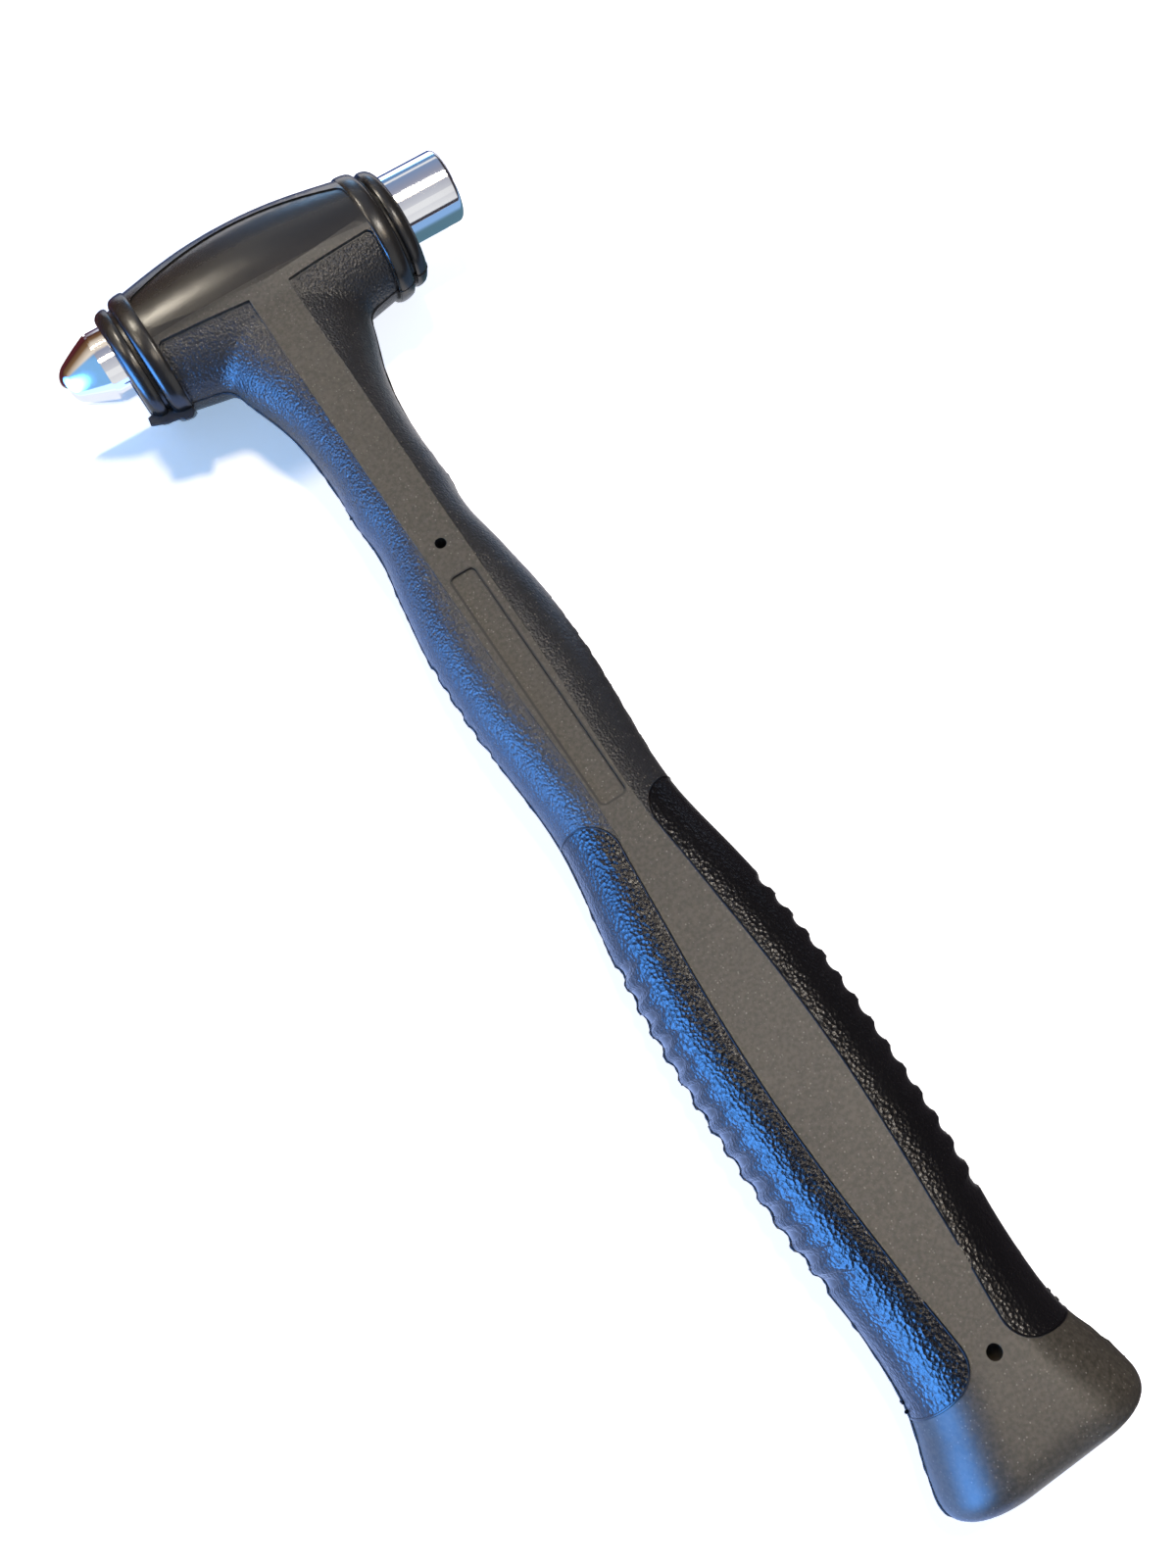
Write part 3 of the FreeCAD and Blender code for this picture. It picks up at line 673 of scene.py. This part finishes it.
def studio_air(settings):
    """Room round the sheet: even cool light, and in glossy surfaces its walls, lamps and window."""
    world = bpy.data.worlds.new("studio_air")
    world.use_nodes = True
    tree = world.node_tree
    tree.nodes.clear()
    way = add_node(tree, "ShaderNodeTexCoord").outputs["Generated"]
    x, y, z = add_node(tree, "ShaderNodeSeparateXYZ", {0: way}).outputs
    # Angle from the horizon beyond the head, over the top, to the horizon beyond the butt
    angle = add_node(tree, "ShaderNodeMath", {0: z, 1: y}, operation="ARCTAN2").outputs[0]
    share = add_node(tree, "ShaderNodeMath", {0: angle, 1: math.pi}, operation="DIVIDE").outputs[0]
    shades = []
    for height, bands in ((share, ROOM_BANDS), (z, WOOD_BANDS)):
        ramp = add_node(tree, "ShaderNodeValToRGB", {0: height})
        for stop, hex_code in bands:
            ramp.color_ramp.elements.new(stop).color = linear(hex_code) + [1]
        ramp.color_ramp.elements.remove(ramp.color_ramp.elements[0])
        ramp.color_ramp.elements.remove(ramp.color_ramp.elements[-1])
        shades.append(ramp.outputs[0])
    room, wood = shades

    def pane(*edges):
        """Mask of a part of the room."""
        return region(tree, "SMOOTHSTEP", *edges)

    for start, end in STRIP_LAMPS:
        near_side = (start - STRIP_EDGE, start + STRIP_EDGE)
        far_side = (end + STRIP_EDGE, end - STRIP_EDGE)
        room = layered(tree, room, (pane((share, near_side), (share, far_side)), "#ffffff"))
    # Dim side and corner, then the pale wall of the window, and warm wood left of the head's far side
    room = layered(
        tree,
        room,
        (pane((x, DIM_SIDE_X)), settings.dim_hex),
        (pane((x, CORNER_X)), settings.corner_hex),
        (pane((x, WALL_X)), settings.wall_hex),
        (pane((y, WOOD_Y), (x, WOOD_X)), wood),
    )
    for way_to_lamp, outer, inner, strength, hex_code in ROOM_LAMPS:
        near = add_node(tree, "ShaderNodeVectorMath", {0: way, 1: way_to_lamp}, operation="DOT_PRODUCT")
        lamp = [c * strength * settings.lamp_power for c in linear(hex_code)] + [1]
        room = layered(tree, room, (pane((near.outputs["Value"], (outer, inner))), lamp))
    # Window on the left, brightest towards the butt
    window = [c * settings.window_power for c in linear(settings.window_hex)] + [1]
    weak = [c * settings.window_share for c in window[:3]] + [1]
    window = layered(tree, window, (pane((y, WINDOW_FADES_Y)), weak))
    room = layered(tree, room, (pane((x, WINDOW_X)), window))
    mirrored = add_node(tree, "ShaderNodeBackground", {"Color": room, "Strength": 1.0}).outputs[0]
    air = linear(settings.air_hex) + [1]
    even = add_node(tree, "ShaderNodeBackground", {"Color": air, "Strength": settings.air_power}).outputs[0]
    glossy = add_node(tree, "ShaderNodeLightPath").outputs["Is Glossy Ray"]
    both = add_node(tree, "ShaderNodeMixShader", {0: glossy, 1: even, 2: mirrored}).outputs[0]
    add_node(tree, "ShaderNodeOutputWorld", {"Surface": both})
    return world


# Modelling helpers


def only(obj):
    """Makes one object active and alone selected."""
    if bpy.context.object and bpy.context.object.mode != "OBJECT":
        bpy.ops.object.mode_set(mode="OBJECT")
    bpy.ops.object.select_all(action="DESELECT")
    obj.select_set(True)
    bpy.context.view_layer.objects.active = obj


def skin_of(node_name, name, sharp_degrees):
    """Smooth-shaded copy of a CAD solid, with its triangles joined."""
    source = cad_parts[node_name]
    obj = bpy.data.objects.new(name, source.data.copy())
    bpy.context.scene.collection.objects.link(obj)
    obj.data.materials.clear()
    only(obj)
    bpy.ops.object.mode_set(mode="EDIT")
    bpy.ops.mesh.select_all(action="SELECT")
    bpy.ops.mesh.remove_doubles(threshold=SKIN_WELD)
    bpy.ops.object.mode_set(mode="OBJECT")
    if obj.data.has_custom_normals:
        bpy.ops.mesh.customdata_custom_splitnormals_clear()
    bpy.ops.object.shade_smooth_by_angle(angle=math.radians(sharp_degrees))
    return obj


def turned_piece(name, profile, steps, sharp_degrees):
    """Piece turned about the head axis from a profile of distance and radius in millimetres."""
    bpy.ops.object.select_all(action="DESELECT")
    bpy.ops.mesh.primitive_plane_add(size=MM)
    obj = bpy.context.object
    obj.name = name
    bpy.ops.object.mode_set(mode="EDIT")
    bpy.ops.mesh.select_all(action="SELECT")
    bpy.ops.mesh.merge(type="CENTER")
    first = Vector((MIDDLE_X + profile[0][0] * MM, AXIS_Y + profile[0][1] * MM, AXIS_Z))
    bpy.ops.transform.translate(value=first)
    for (x1, r1), (x2, r2) in zip(profile, profile[1:]):
        step = ((x2 - x1) * MM, (r2 - r1) * MM, 0)
        bpy.ops.mesh.extrude_vertices_move(TRANSFORM_OT_translate={"value": step})
    bpy.ops.mesh.select_all(action="SELECT")
    bpy.ops.mesh.spin(steps=steps, angle=math.tau, center=(MIDDLE_X, AXIS_Y, AXIS_Z), axis=(1, 0, 0))
    bpy.ops.mesh.select_all(action="SELECT")
    bpy.ops.mesh.remove_doubles(threshold=PIECE_WELD)
    bpy.ops.mesh.normals_make_consistent(inside=False)
    bpy.ops.object.mode_set(mode="OBJECT")
    only(obj)
    bpy.ops.object.shade_smooth_by_angle(angle=math.radians(sharp_degrees))
    return obj


def edge_wire(obj, name, keep):
    """New wire object from the edges of a mesh for which keep is true."""
    source = bmesh.new()
    source.from_mesh(obj.data)
    source.normal_update()
    wire = bmesh.new()
    made = {}
    for edge in source.edges:
        if keep(edge):
            ends = []
            for vert in edge.verts:
                if vert.index not in made:
                    made[vert.index] = wire.verts.new(vert.co)
                ends.append(made[vert.index])
            wire.edges.new(ends)
    mesh = bpy.data.meshes.new(name)
    wire.to_mesh(mesh)
    wire.free()
    source.free()
    strand = bpy.data.objects.new(name, mesh)
    bpy.context.scene.collection.objects.link(strand)
    return strand


def thickened(strand, radius, sides, uneven=0.0):
    """Turns a wire object into a thin round bead along its edges, thicker and thinner by the uneven share."""
    only(strand)
    bpy.ops.object.mode_set(mode="EDIT")
    bpy.ops.mesh.select_all(action="SELECT")
    bpy.ops.mesh.remove_doubles(threshold=WIRE_WELD)
    bpy.ops.object.mode_set(mode="OBJECT")
    bpy.ops.object.convert(target="CURVE")
    strand = bpy.context.object
    strand.data.bevel_depth = radius
    strand.data.bevel_resolution = sides
    strand.data.use_fill_caps = True
    for spline in strand.data.splines:
        for point in spline.points:
            point.radius = 1 + uneven * noise.noise(Vector(point.co[:3]) / RAGGED_PITCH)
    bpy.ops.object.convert(target="MESH")
    strand = bpy.context.object
    only(strand)
    bpy.ops.object.mode_set(mode="EDIT")
    bpy.ops.mesh.select_all(action="SELECT")
    bpy.ops.mesh.remove_doubles(threshold=PIECE_WELD)
    bpy.ops.mesh.normals_make_consistent(inside=False)
    bpy.ops.object.mode_set(mode="OBJECT")
    low, high = CAD_BOX
    for vert in strand.data.vertices:
        vert.co.x = min(max(vert.co.x, low[0]), high[0])
        vert.co.y = min(max(vert.co.y, low[1]), high[1])
        vert.co.z = min(max(vert.co.z, low[2]), high[2])
    return strand


def seam_bead(skin, name, radius):
    """Bead of flash where the wall of an insert meets its outer face."""

    def on_seam(edge):
        if len(edge.link_faces) != 2 or edge.calc_face_angle(0.0) < math.radians(SEAM_DEGREES):
            return False
        first, second = edge.link_faces
        if abs(second.normal.z) < abs(first.normal.z):
            first, second = second, first
        middle = (edge.verts[0].co + edge.verts[1].co) / 2
        outward = Vector((middle.x - MIDDLE_X, 0.0, middle.z - AXIS_Z)).normalized()
        return abs(first.normal.z) < WALL_TILT and second.normal.dot(outward) > OUTWARD_LEAST

    return thickened(edge_wire(skin, name, on_seam), radius, sides=2)


def parting_ridge(name, radius):
    """Ragged ridge round the outside of the casing and grips, in the parting plane of the mould."""
    bpy.ops.object.select_all(action="DESELECT")
    for node in ("casing", "grip_insert_face_side", "grip_insert_peen_side"):
        section = bpy.data.objects.new(name + "_section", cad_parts[node].data.copy())
        bpy.context.scene.collection.objects.link(section)
        section.select_set(True)
    bpy.context.view_layer.objects.active = section
    bpy.ops.object.join()
    bpy.ops.object.mode_set(mode="EDIT")
    bpy.ops.mesh.select_all(action="SELECT")
    bpy.ops.mesh.bisect(plane_co=(0, 0, AXIS_Z), plane_no=(0, 0, 1), clear_inner=True, clear_outer=True)
    bpy.ops.object.mode_set(mode="OBJECT")
    solids = bmesh.new()
    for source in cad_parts.values():
        solids.from_mesh(source.data)
    tree = BVHTree.FromBMesh(solids)
    solids.free()

    def open_above(point):
        return tree.ray_cast(point, Vector((0, 0, 1)))[0] is None

    def on_outside(edge):
        along = edge.verts[1].co - edge.verts[0].co
        middle = (edge.verts[0].co + edge.verts[1].co) / 2
        across = Vector((-along.y, along.x, 0)).normalized() * PROBE
        return open_above(middle + across) != open_above(middle - across)

    wire = edge_wire(section, name, on_outside)
    bpy.data.objects.remove(section)
    return thickened(wire, radius, sides=1, uneven=RIDGE_RAGGED_SHARE)


def flash_sheet(name, outline, thickness):
    """Thin sheet of flash in the parting plane, from an outline in millimetres off the head axis."""
    bpy.ops.object.select_all(action="DESELECT")
    bpy.ops.mesh.primitive_plane_add(size=MM)
    obj = bpy.context.object
    obj.name = name
    bpy.ops.object.mode_set(mode="EDIT")
    bpy.ops.mesh.select_all(action="SELECT")
    bpy.ops.mesh.merge(type="CENTER")
    x, y = outline[0]
    bpy.ops.transform.translate(value=(MIDDLE_X + x * MM, AXIS_Y + y * MM, AXIS_Z - thickness / 2))
    for (x1, y1), (x2, y2) in zip(outline, outline[1:]):
        step = ((x2 - x1) * MM, (y2 - y1) * MM, 0)
        bpy.ops.mesh.extrude_vertices_move(TRANSFORM_OT_translate={"value": step})
    bpy.ops.mesh.select_all(action="SELECT")
    bpy.ops.mesh.edge_face_add()
    bpy.ops.mesh.extrude_region_move(TRANSFORM_OT_translate={"value": (0, 0, thickness)})
    bpy.ops.mesh.select_all(action="SELECT")
    bpy.ops.mesh.normals_make_consistent(inside=False)
    bpy.ops.mesh.bevel(offset=thickness / 5, segments=2)
    bpy.ops.object.mode_set(mode="OBJECT")
    return obj


def torn_bits(name, bits):
    """Torn bits of flash in the parting plane, from places off the head axis and radii in millimetres."""
    made = []
    for i, (x, y, radius) in enumerate(bits):
        bpy.ops.object.select_all(action="DESELECT")
        bpy.ops.mesh.primitive_ico_sphere_add(subdivisions=2, radius=radius * MM)
        made.append(bpy.context.object)
        bpy.ops.object.mode_set(mode="EDIT")
        bpy.ops.mesh.select_all(action="SELECT")
        ragged = BIT_RAGGED_SHARE * radius * MM
        bpy.ops.transform.vertex_random(offset=ragged, uniform=1.0, normal=0.0, seed=i)
        bpy.ops.transform.translate(value=(MIDDLE_X + x * MM, AXIS_Y + y * MM, AXIS_Z))
        bpy.ops.object.mode_set(mode="OBJECT")
    for obj in made:
        obj.select_set(True)
    bpy.ops.object.join()
    piece = bpy.context.object
    piece.name = name
    return piece


# Sizes and colours that a user would change


class HammerCasingSettings(bpy.types.PropertyGroup):
    """Finish of the moulded casing."""

    dark_hex: bpy.props.StringProperty(
        name="Dark tone",
        description="Darker tone of the plastic, as sRGB hex",
        default="#38362f",
    )
    light_hex: bpy.props.StringProperty(
        name="Light tone",
        description="Lighter tone of the plastic, as sRGB hex",
        default="#4e4b43",
    )
    grain_hex: bpy.props.StringProperty(
        name="Grain tone",
        description="Tone of the grained flanks, as sRGB hex",
        default="#2b2c2e",
    )
    panel_hex: bpy.props.StringProperty(
        name="Panel tone",
        description="Tone of the polished cheek panel and rings, as sRGB hex",
        default="#2a2927",
    )
    # Light specks: partly the fibres' own tone, partly painted glints
    speck_and_glint_hex: bpy.props.StringProperty(
        name="Specks",
        description="Tone of the fibre specks, as sRGB hex",
        default="#8f8b83",
    )
    speck_pitch: bpy.props.FloatProperty(
        name="Speck pitch",
        description="Distance between fibre ends",
        default=0.62 * MM,
        min=0.1 * MM,
        unit="LENGTH",
        precision=5,
    )
    grain_pitch: bpy.props.FloatProperty(
        name="Grain pitch",
        description="Distance between the pebbles of the grain",
        default=0.56 * MM,
        min=0.1 * MM,
        unit="LENGTH",
        precision=5,
    )
    grain_depth: bpy.props.FloatProperty(
        name="Grain depth",
        description="Height of the pebbles of the grain",
        default=0.16 * MM,
        min=0.0,
        unit="LENGTH",
        precision=5,
    )
    ridge_hex: bpy.props.StringProperty(
        name="Ridge tone",
        description="Tone of the parting ridge, as sRGB hex",
        default="#121214",
    )
    # Tone of the painted shade along the recess outline and in the pin holes, and of the dark mould joint
    # line
    shade_and_joint_hex: bpy.props.StringProperty(
        name="Line tone",
        description="Tone of the recess outline and the mould joint, as sRGB hex",
        default="#121211",
    )
    ridge_radius: bpy.props.FloatProperty(
        name="Parting ridge",
        description="Half width of the ridge at the parting plane",
        default=0.27 * MM,
        min=0.01 * MM,
        unit="LENGTH",
        precision=5,
    )
    flash_thickness: bpy.props.FloatProperty(
        name="Flash tab",
        description="Thickness of the torn tab of flash",
        default=0.6 * MM,
        min=0.05 * MM,
        unit="LENGTH",
        precision=5,
    )


class HammerGripSettings(bpy.types.PropertyGroup):
    """Finish of the soft grips."""

    dark_hex: bpy.props.StringProperty(
        name="Dark tone",
        description="Darker tone of the elastomer, as sRGB hex",
        default="#0c0c0e",
    )
    light_hex: bpy.props.StringProperty(
        name="Light tone",
        description="Lighter tone of the elastomer, as sRGB hex",
        default="#161618",
    )
    grain_pitch: bpy.props.FloatProperty(
        name="Grain pitch",
        description="Distance between the wrinkles of the grain",
        default=0.80 * MM,
        min=0.1 * MM,
        unit="LENGTH",
        precision=5,
    )
    grain_depth: bpy.props.FloatProperty(
        name="Grain depth",
        description="Height of the wrinkles of the grain",
        default=0.15 * MM,
        min=0.0,
        unit="LENGTH",
        precision=5,
    )
    rib_pitch: bpy.props.FloatProperty(
        name="Rib pitch",
        description="Distance between the finger ribs",
        default=5.232 * MM,
        min=1.0 * MM,
        unit="LENGTH",
        precision=5,
    )
    first_scoop: bpy.props.FloatProperty(
        name="First scoop",
        description="Place of the first scoop below the head axis",
        default=-178.98 * MM,
        unit="LENGTH",
        precision=5,
    )
    flash_hex: bpy.props.StringProperty(
        name="Flash tone",
        description="Tone of the flash in the seams, as sRGB hex",
        default="#050507",
    )
    seam_radius: bpy.props.FloatProperty(
        name="Seam flash",
        description="Half width of the flash in the seams",
        default=0.22 * MM,
        min=0.01 * MM,
        unit="LENGTH",
        precision=5,
    )


class HammerSteelSettings(bpy.types.PropertyGroup):
    """Shape and finish of the steel ends."""

    radius_mm: bpy.props.FloatProperty(
        name="Radius",
        description="Radius of both steel ends, in millimetres",
        default=8.4,
        min=1.0,
    )
    edge_mm: bpy.props.FloatProperty(
        name="Edge",
        description="Rounding of the striking face's rim, in millimetres",
        default=1.2,
        min=0.1,
    )
    steps: bpy.props.IntProperty(
        name="Steps",
        description="Segments round the head axis",
        default=144,
        min=16,
    )
    steel_hex: bpy.props.StringProperty(
        name="Steel",
        description="Tone of the polished steel, as sRGB hex",
        default="#e4e5e8",
    )


class HammerStageSettings(bpy.types.PropertyGroup):
    """Floor, lamps and camera."""

    floor_hex: bpy.props.StringProperty(
        name="Floor",
        description="Tone of the floor, as sRGB hex",
        default="#f6f7f8",
    )
    floor_lift: bpy.props.FloatProperty(
        name="Floor lift",
        description="Light added to the floor as it is seen",
        default=0.56,
        min=0.0,
    )
    # Painted light: the sheet glows brighter along the handle, right of it and under the steel ends, filling
    # the shadow there
    fill_lift: bpy.props.FloatProperty(
        name="Fill",
        description="Light added to the floor along the handle and right of it",
        default=0.93,
        min=0.0,
    )
    fill_hex: bpy.props.StringProperty(
        name="Fill tone",
        description="Tone of the light added along the handle, as sRGB hex",
        default="#f4f7ff",
    )
    lift_hex: bpy.props.StringProperty(
        name="Lift tone",
        description="Tone of the light added to the floor, as sRGB hex",
        default="#c2dfff",
    )
    key_hex: bpy.props.StringProperty(
        name="Key tone",
        description="Tone of the key light, as sRGB hex",
        default="#ffe4c0",
    )
    key_power: bpy.props.FloatProperty(
        name="Key",
        description="Strength of the high lamp beyond the head",
        default=2.35,
        min=0.0,
    )
    ceiling_hex: bpy.props.StringProperty(
        name="Ceiling tone",
        description="Tone of the ceiling light in the gloss, as sRGB hex",
        default="#fff6e8",
    )
    ceiling_power: bpy.props.FloatProperty(
        name="Ceiling",
        description="Strength of the ceiling light in the gloss",
        default=0.95,
        min=0.0,
    )
    air_hex: bpy.props.StringProperty(
        name="Air",
        description="Tone of the even light, as sRGB hex",
        default="#a9ccff",
    )
    air_power: bpy.props.FloatProperty(
        name="Air strength",
        description="Strength of the even light",
        default=0.42,
        min=0.0,
    )
    window_hex: bpy.props.StringProperty(
        name="Window",
        description="Tone of the window on the left, as sRGB hex",
        default="#55a0ff",
    )
    window_power: bpy.props.FloatProperty(
        name="Window strength",
        description="Strength of the window towards the butt",
        default=34.0,
        min=0.0,
    )
    window_share: bpy.props.FloatProperty(
        name="Window towards head",
        description="Share of the window's strength towards the head",
        default=0.28,
        min=0.0,
    )
    # Painted reflections that the sheet glows with for glossy surfaces only
    blue_hex: bpy.props.StringProperty(
        name="Sheet by face",
        description="Tone of the sheet before the striking face in the gloss, as sRGB hex",
        default="#94c0f4",
    )
    teal_hex: bpy.props.StringProperty(
        name="Sheet under face",
        description="Tone of the sheet under the striking face in the gloss, as sRGB hex",
        default="#5e8496",
    )
    beside_hex: bpy.props.StringProperty(
        name="Sheet beside",
        description="Tone of the sheet beside the handle in the gloss, as sRGB hex",
        default="#96b2f0",
    )
    beside_power: bpy.props.FloatProperty(
        name="Window on sheet",
        description="Strength of the window's light on the sheet beside the handle",
        default=3.2,
        min=0.0,
    )
    corner_hex: bpy.props.StringProperty(
        name="Dim corner",
        description="Tone of the corner before the window, as sRGB hex",
        default="#2c3558",
    )
    wall_hex: bpy.props.StringProperty(
        name="Window wall",
        description="Tone of the wall round the window, as sRGB hex",
        default="#8cc6fb",
    )
    lamp_power: bpy.props.FloatProperty(
        name="Room lamps",
        description="Share of their strength that the lamps in the gloss have",
        default=1.0,
        min=0.0,
    )
    # Painted reflections that the sheet glows with for glossy surfaces only; the dim side also tones the
    # room's right side
    table_hex: bpy.props.StringProperty(
        name="Table",
        description="Tone of the wood past the sheet, as sRGB hex",
        default="#5a2226",
    )
    far_hex: bpy.props.StringProperty(
        name="Far edge",
        description="Tone of the sheet's far edge in the steel, as sRGB hex",
        default="#1d4f96",
    )
    dim_hex: bpy.props.StringProperty(
        name="Dim side",
        description="Tone of the dim side on the right, as sRGB hex",
        default="#3f3a40",
    )


# Pieces


class HAMMER_OT_casing(bpy.types.Operator):
    """Dress the moulded casing"""

    bl_idname = "hammer.casing"
    bl_label = "Casing"

    def execute(self, context):
        settings = context.scene.hammer_casing
        skin = skin_of("casing", "casing_skin", CASING_SHARP_DEGREES)
        skin.data.materials.append(moulded_plastic(settings))
        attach(skin, "hammer")
        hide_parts("casing")
        ridge = parting_ridge("parting_ridge", settings.ridge_radius)
        tab = flash_sheet("flash_tab", FLASH_TAB, settings.flash_thickness)
        bits = torn_bits("torn_ridge", CASING_BITS)
        flash = plastic_flash(settings)
        for obj in (ridge, bits, tab):
            obj.data.materials.clear()
            obj.data.materials.append(flash)
            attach(obj, "hammer")
        return {"FINISHED"}


class HAMMER_OT_grips(bpy.types.Operator):
    """Dress the two soft grips"""

    bl_idname = "hammer.grips"
    bl_label = "Grips"

    def execute(self, context):
        settings = context.scene.hammer_grip
        material = soft_elastomer(settings)
        flash = seam_gap(settings)
        for side in ("face_side", "peen_side"):
            node = "grip_insert_" + side
            skin = skin_of(node, "grip_skin_" + side, GRIP_SHARP_DEGREES)
            skin.data.materials.append(material)
            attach(skin, "hammer")
            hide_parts(node)
            bead = seam_bead(skin, "seam_flash_" + side, settings.seam_radius)
            bead.data.materials.clear()
            bead.data.materials.append(flash)
            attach(bead, "hammer")
        bits = torn_bits("torn_flash", GRIP_BITS)
        bits.data.materials.clear()
        bits.data.materials.append(flash)
        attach(bits, "hammer")
        return {"FINISHED"}


class HAMMER_OT_steel_ends(bpy.types.Operator):
    """Turn the striking face and the ball peen"""

    bl_idname = "hammer.steel_ends"
    bl_label = "Steel ends"

    def execute(self, context):
        settings = context.scene.hammer_steel
        radius = settings.radius_mm
        material = polished_steel(settings)
        face_end = (FACE_HIGH[0] - MIDDLE_X) / MM
        peen_tip = (MIDDLE_X - PEEN_LOW[0]) / MM
        edge = settings.edge_mm
        face_profile = [(FACE_PLUG_MM, 0.0), (FACE_PLUG_MM, radius)]
        for i in range(RIM_STEPS + 1):
            turn = math.pi / 2 * i / RIM_STEPS
            x = face_end - edge + edge * math.sin(turn)
            face_profile.append((x, radius - edge + edge * math.cos(turn)))
        face_profile.append((face_end, 0.0))
        face = turned_piece("striking_face_turned", face_profile, settings.steps, STEEL_SHARP_DEGREES)
        neck = radius - GROOVE_DEPTH_MM
        groove_end = SHOULDER_MM + GROOVE_WIDTH_MM
        peen_profile = [(-FACE_PLUG_MM, 0.0), (-FACE_PLUG_MM, radius), (-SHOULDER_MM, radius)]
        peen_profile += [(-SHOULDER_MM, neck), (-groove_end, neck), (-groove_end, radius)]
        for i in range(1, CONE_STEPS + 1):
            share = i / CONE_STEPS
            bulge = 4 * CONE_BULGE_MM * share * (1 - share)
            x = -groove_end - share * (CONE_END_MM - groove_end)
            peen_profile.append((x, radius + share * (CONE_RADIUS_MM - radius) + bulge))
        rise = peen_tip - CONE_END_MM
        nose_radius = (CONE_RADIUS_MM**2 + rise**2) / (2 * rise)
        start = math.asin(CONE_RADIUS_MM / nose_radius)
        for i in range(1, NOSE_STEPS + 1):
            turn = start * (1 - i / NOSE_STEPS)
            x = nose_radius - peen_tip - nose_radius * math.cos(turn)
            peen_profile.append((x, nose_radius * math.sin(turn)))
        peen = turned_piece("ball_peen_turned", peen_profile, settings.steps, STEEL_SHARP_DEGREES)
        for obj, node in ((face, "striking_face"), (peen, "ball_peen")):
            obj.data.materials.append(material)
            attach(obj, "hammer")
            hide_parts(node)
        return {"FINISHED"}


class HAMMER_OT_inner_parts(bpy.types.Operator):
    """Finish the steel pieces inside the head and handle"""

    bl_idname = "hammer.inner_parts"
    bl_label = "Inner parts"

    def execute(self, context):
        tube = plain_steel("drawn_steel_tube", "#8f9092", 0.3, 0.45, 0.8 * MM)
        weld = plain_steel("mig_weld_bead", "#5c5a57", 0.45, 0.7, 0.5 * MM)
        shot = plain_steel("cut_steel_shot", "#77787a", 0.35, 0.6, 0.4 * MM)
        finishes = {
            "shot_canister": tube,
            "core_rod": tube,
            "face_weld": weld,
            "peen_weld": weld,
            "rod_weld": weld,
            "steel_shot": shot,
        }
        for node, material in finishes.items():
            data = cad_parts[node].data
            data.materials.clear()
            data.materials.append(material)
        return {"FINISHED"}


class HAMMER_OT_stage(bpy.types.Operator):
    """Set up the white sheet, the lamps and the camera"""

    bl_idname = "hammer.stage"
    bl_label = "Stage"

    def execute(self, context):
        settings = context.scene.hammer_stage
        scene = context.scene
        bpy.ops.object.select_all(action="DESELECT")
        bpy.ops.mesh.primitive_plane_add(size=SHEET_SIZE, location=(0, 0, 0))
        floor = context.object
        floor.name = "white_sheet"
        floor.data.materials.append(studio_floor(settings))
        # The key lamp shows no gloss, and the ceiling light only gloss, most in the middle of the grip
        lamps = (
            ("key_lamp", KEY_AIM, KEY_DEGREES, "key", False),
            ("ceiling_gloss", CEILING_AIM, CEILING_DEGREES, "ceiling", True),
        )
        for name, aim, degrees, group, in_gloss in lamps:
            bpy.ops.object.light_add(type="SUN", location=[-part for part in aim])
            lamp = context.object
            lamp.name = name
            lamp.rotation_euler = Vector(aim).to_track_quat("-Z", "Y").to_euler()
            lamp.data.energy = getattr(settings, group + "_power")
            lamp.data.angle = math.radians(degrees)
            lamp.data.color = linear(getattr(settings, group + "_hex"))
            lamp.visible_glossy = in_gloss
            lamp.visible_diffuse = not in_gloss
        scene.world = studio_air(settings)
        turn = [math.radians(degrees) for degrees in CAMERA_DEGREES]
        bpy.ops.object.camera_add(location=metres(CAMERA_MM), rotation=turn)
        camera = context.object
        camera.data.sensor_width = CAMERA_FILM_MM
        camera.data.lens = CAMERA_LENS_MM
        camera.data.clip_start = CAMERA_NEAR
        scene.camera = camera
        scene.view_settings.view_transform = "Standard"
        return {"FINISHED"}


class HAMMER_PT_panel(bpy.types.Panel):
    """Lists the steps that dress the hammer"""

    bl_idname = "HAMMER_PT_panel"
    bl_label = "Hammer"
    bl_space_type = "VIEW_3D"
    bl_region_type = "UI"
    bl_category = "Hammer"

    def draw(self, context):
        for group in ("hammer_casing", "hammer_grip", "hammer_steel", "hammer_stage"):
            box = self.layout.box()
            for name in getattr(context.scene, group).bl_rna.properties.keys():
                if name not in ("rna_type", "name"):
                    box.prop(getattr(context.scene, group), name)
        for step in STEPS:
            self.layout.operator("hammer." + step)


STEPS = ("casing", "grips", "steel_ends", "inner_parts", "stage")
GROUPS = {
    "hammer_casing": HammerCasingSettings,
    "hammer_grip": HammerGripSettings,
    "hammer_steel": HammerSteelSettings,
    "hammer_stage": HammerStageSettings,
}
CLASSES = (
    HAMMER_OT_casing,
    HAMMER_OT_grips,
    HAMMER_OT_steel_ends,
    HAMMER_OT_inner_parts,
    HAMMER_OT_stage,
    HAMMER_PT_panel,
)


def register():
    """Registers the settings, the steps and the panel."""
    for name, group in GROUPS.items():
        bpy.utils.register_class(group)
        setattr(bpy.types.Scene, name, bpy.props.PointerProperty(type=group))
    for cls in CLASSES:
        bpy.utils.register_class(cls)


def unregister():
    """Takes away what register added."""
    for cls in reversed(CLASSES):
        bpy.utils.unregister_class(cls)
    for name, group in GROUPS.items():
        delattr(bpy.types.Scene, name)
        bpy.utils.unregister_class(group)


def main():
    """Registers the steps and dresses the hammer."""
    register()
    bpy.ops.object.select_all(action="DESELECT")
    for step in STEPS:
        getattr(bpy.ops.hammer, step)()


if __name__ == "__main__":
    main()
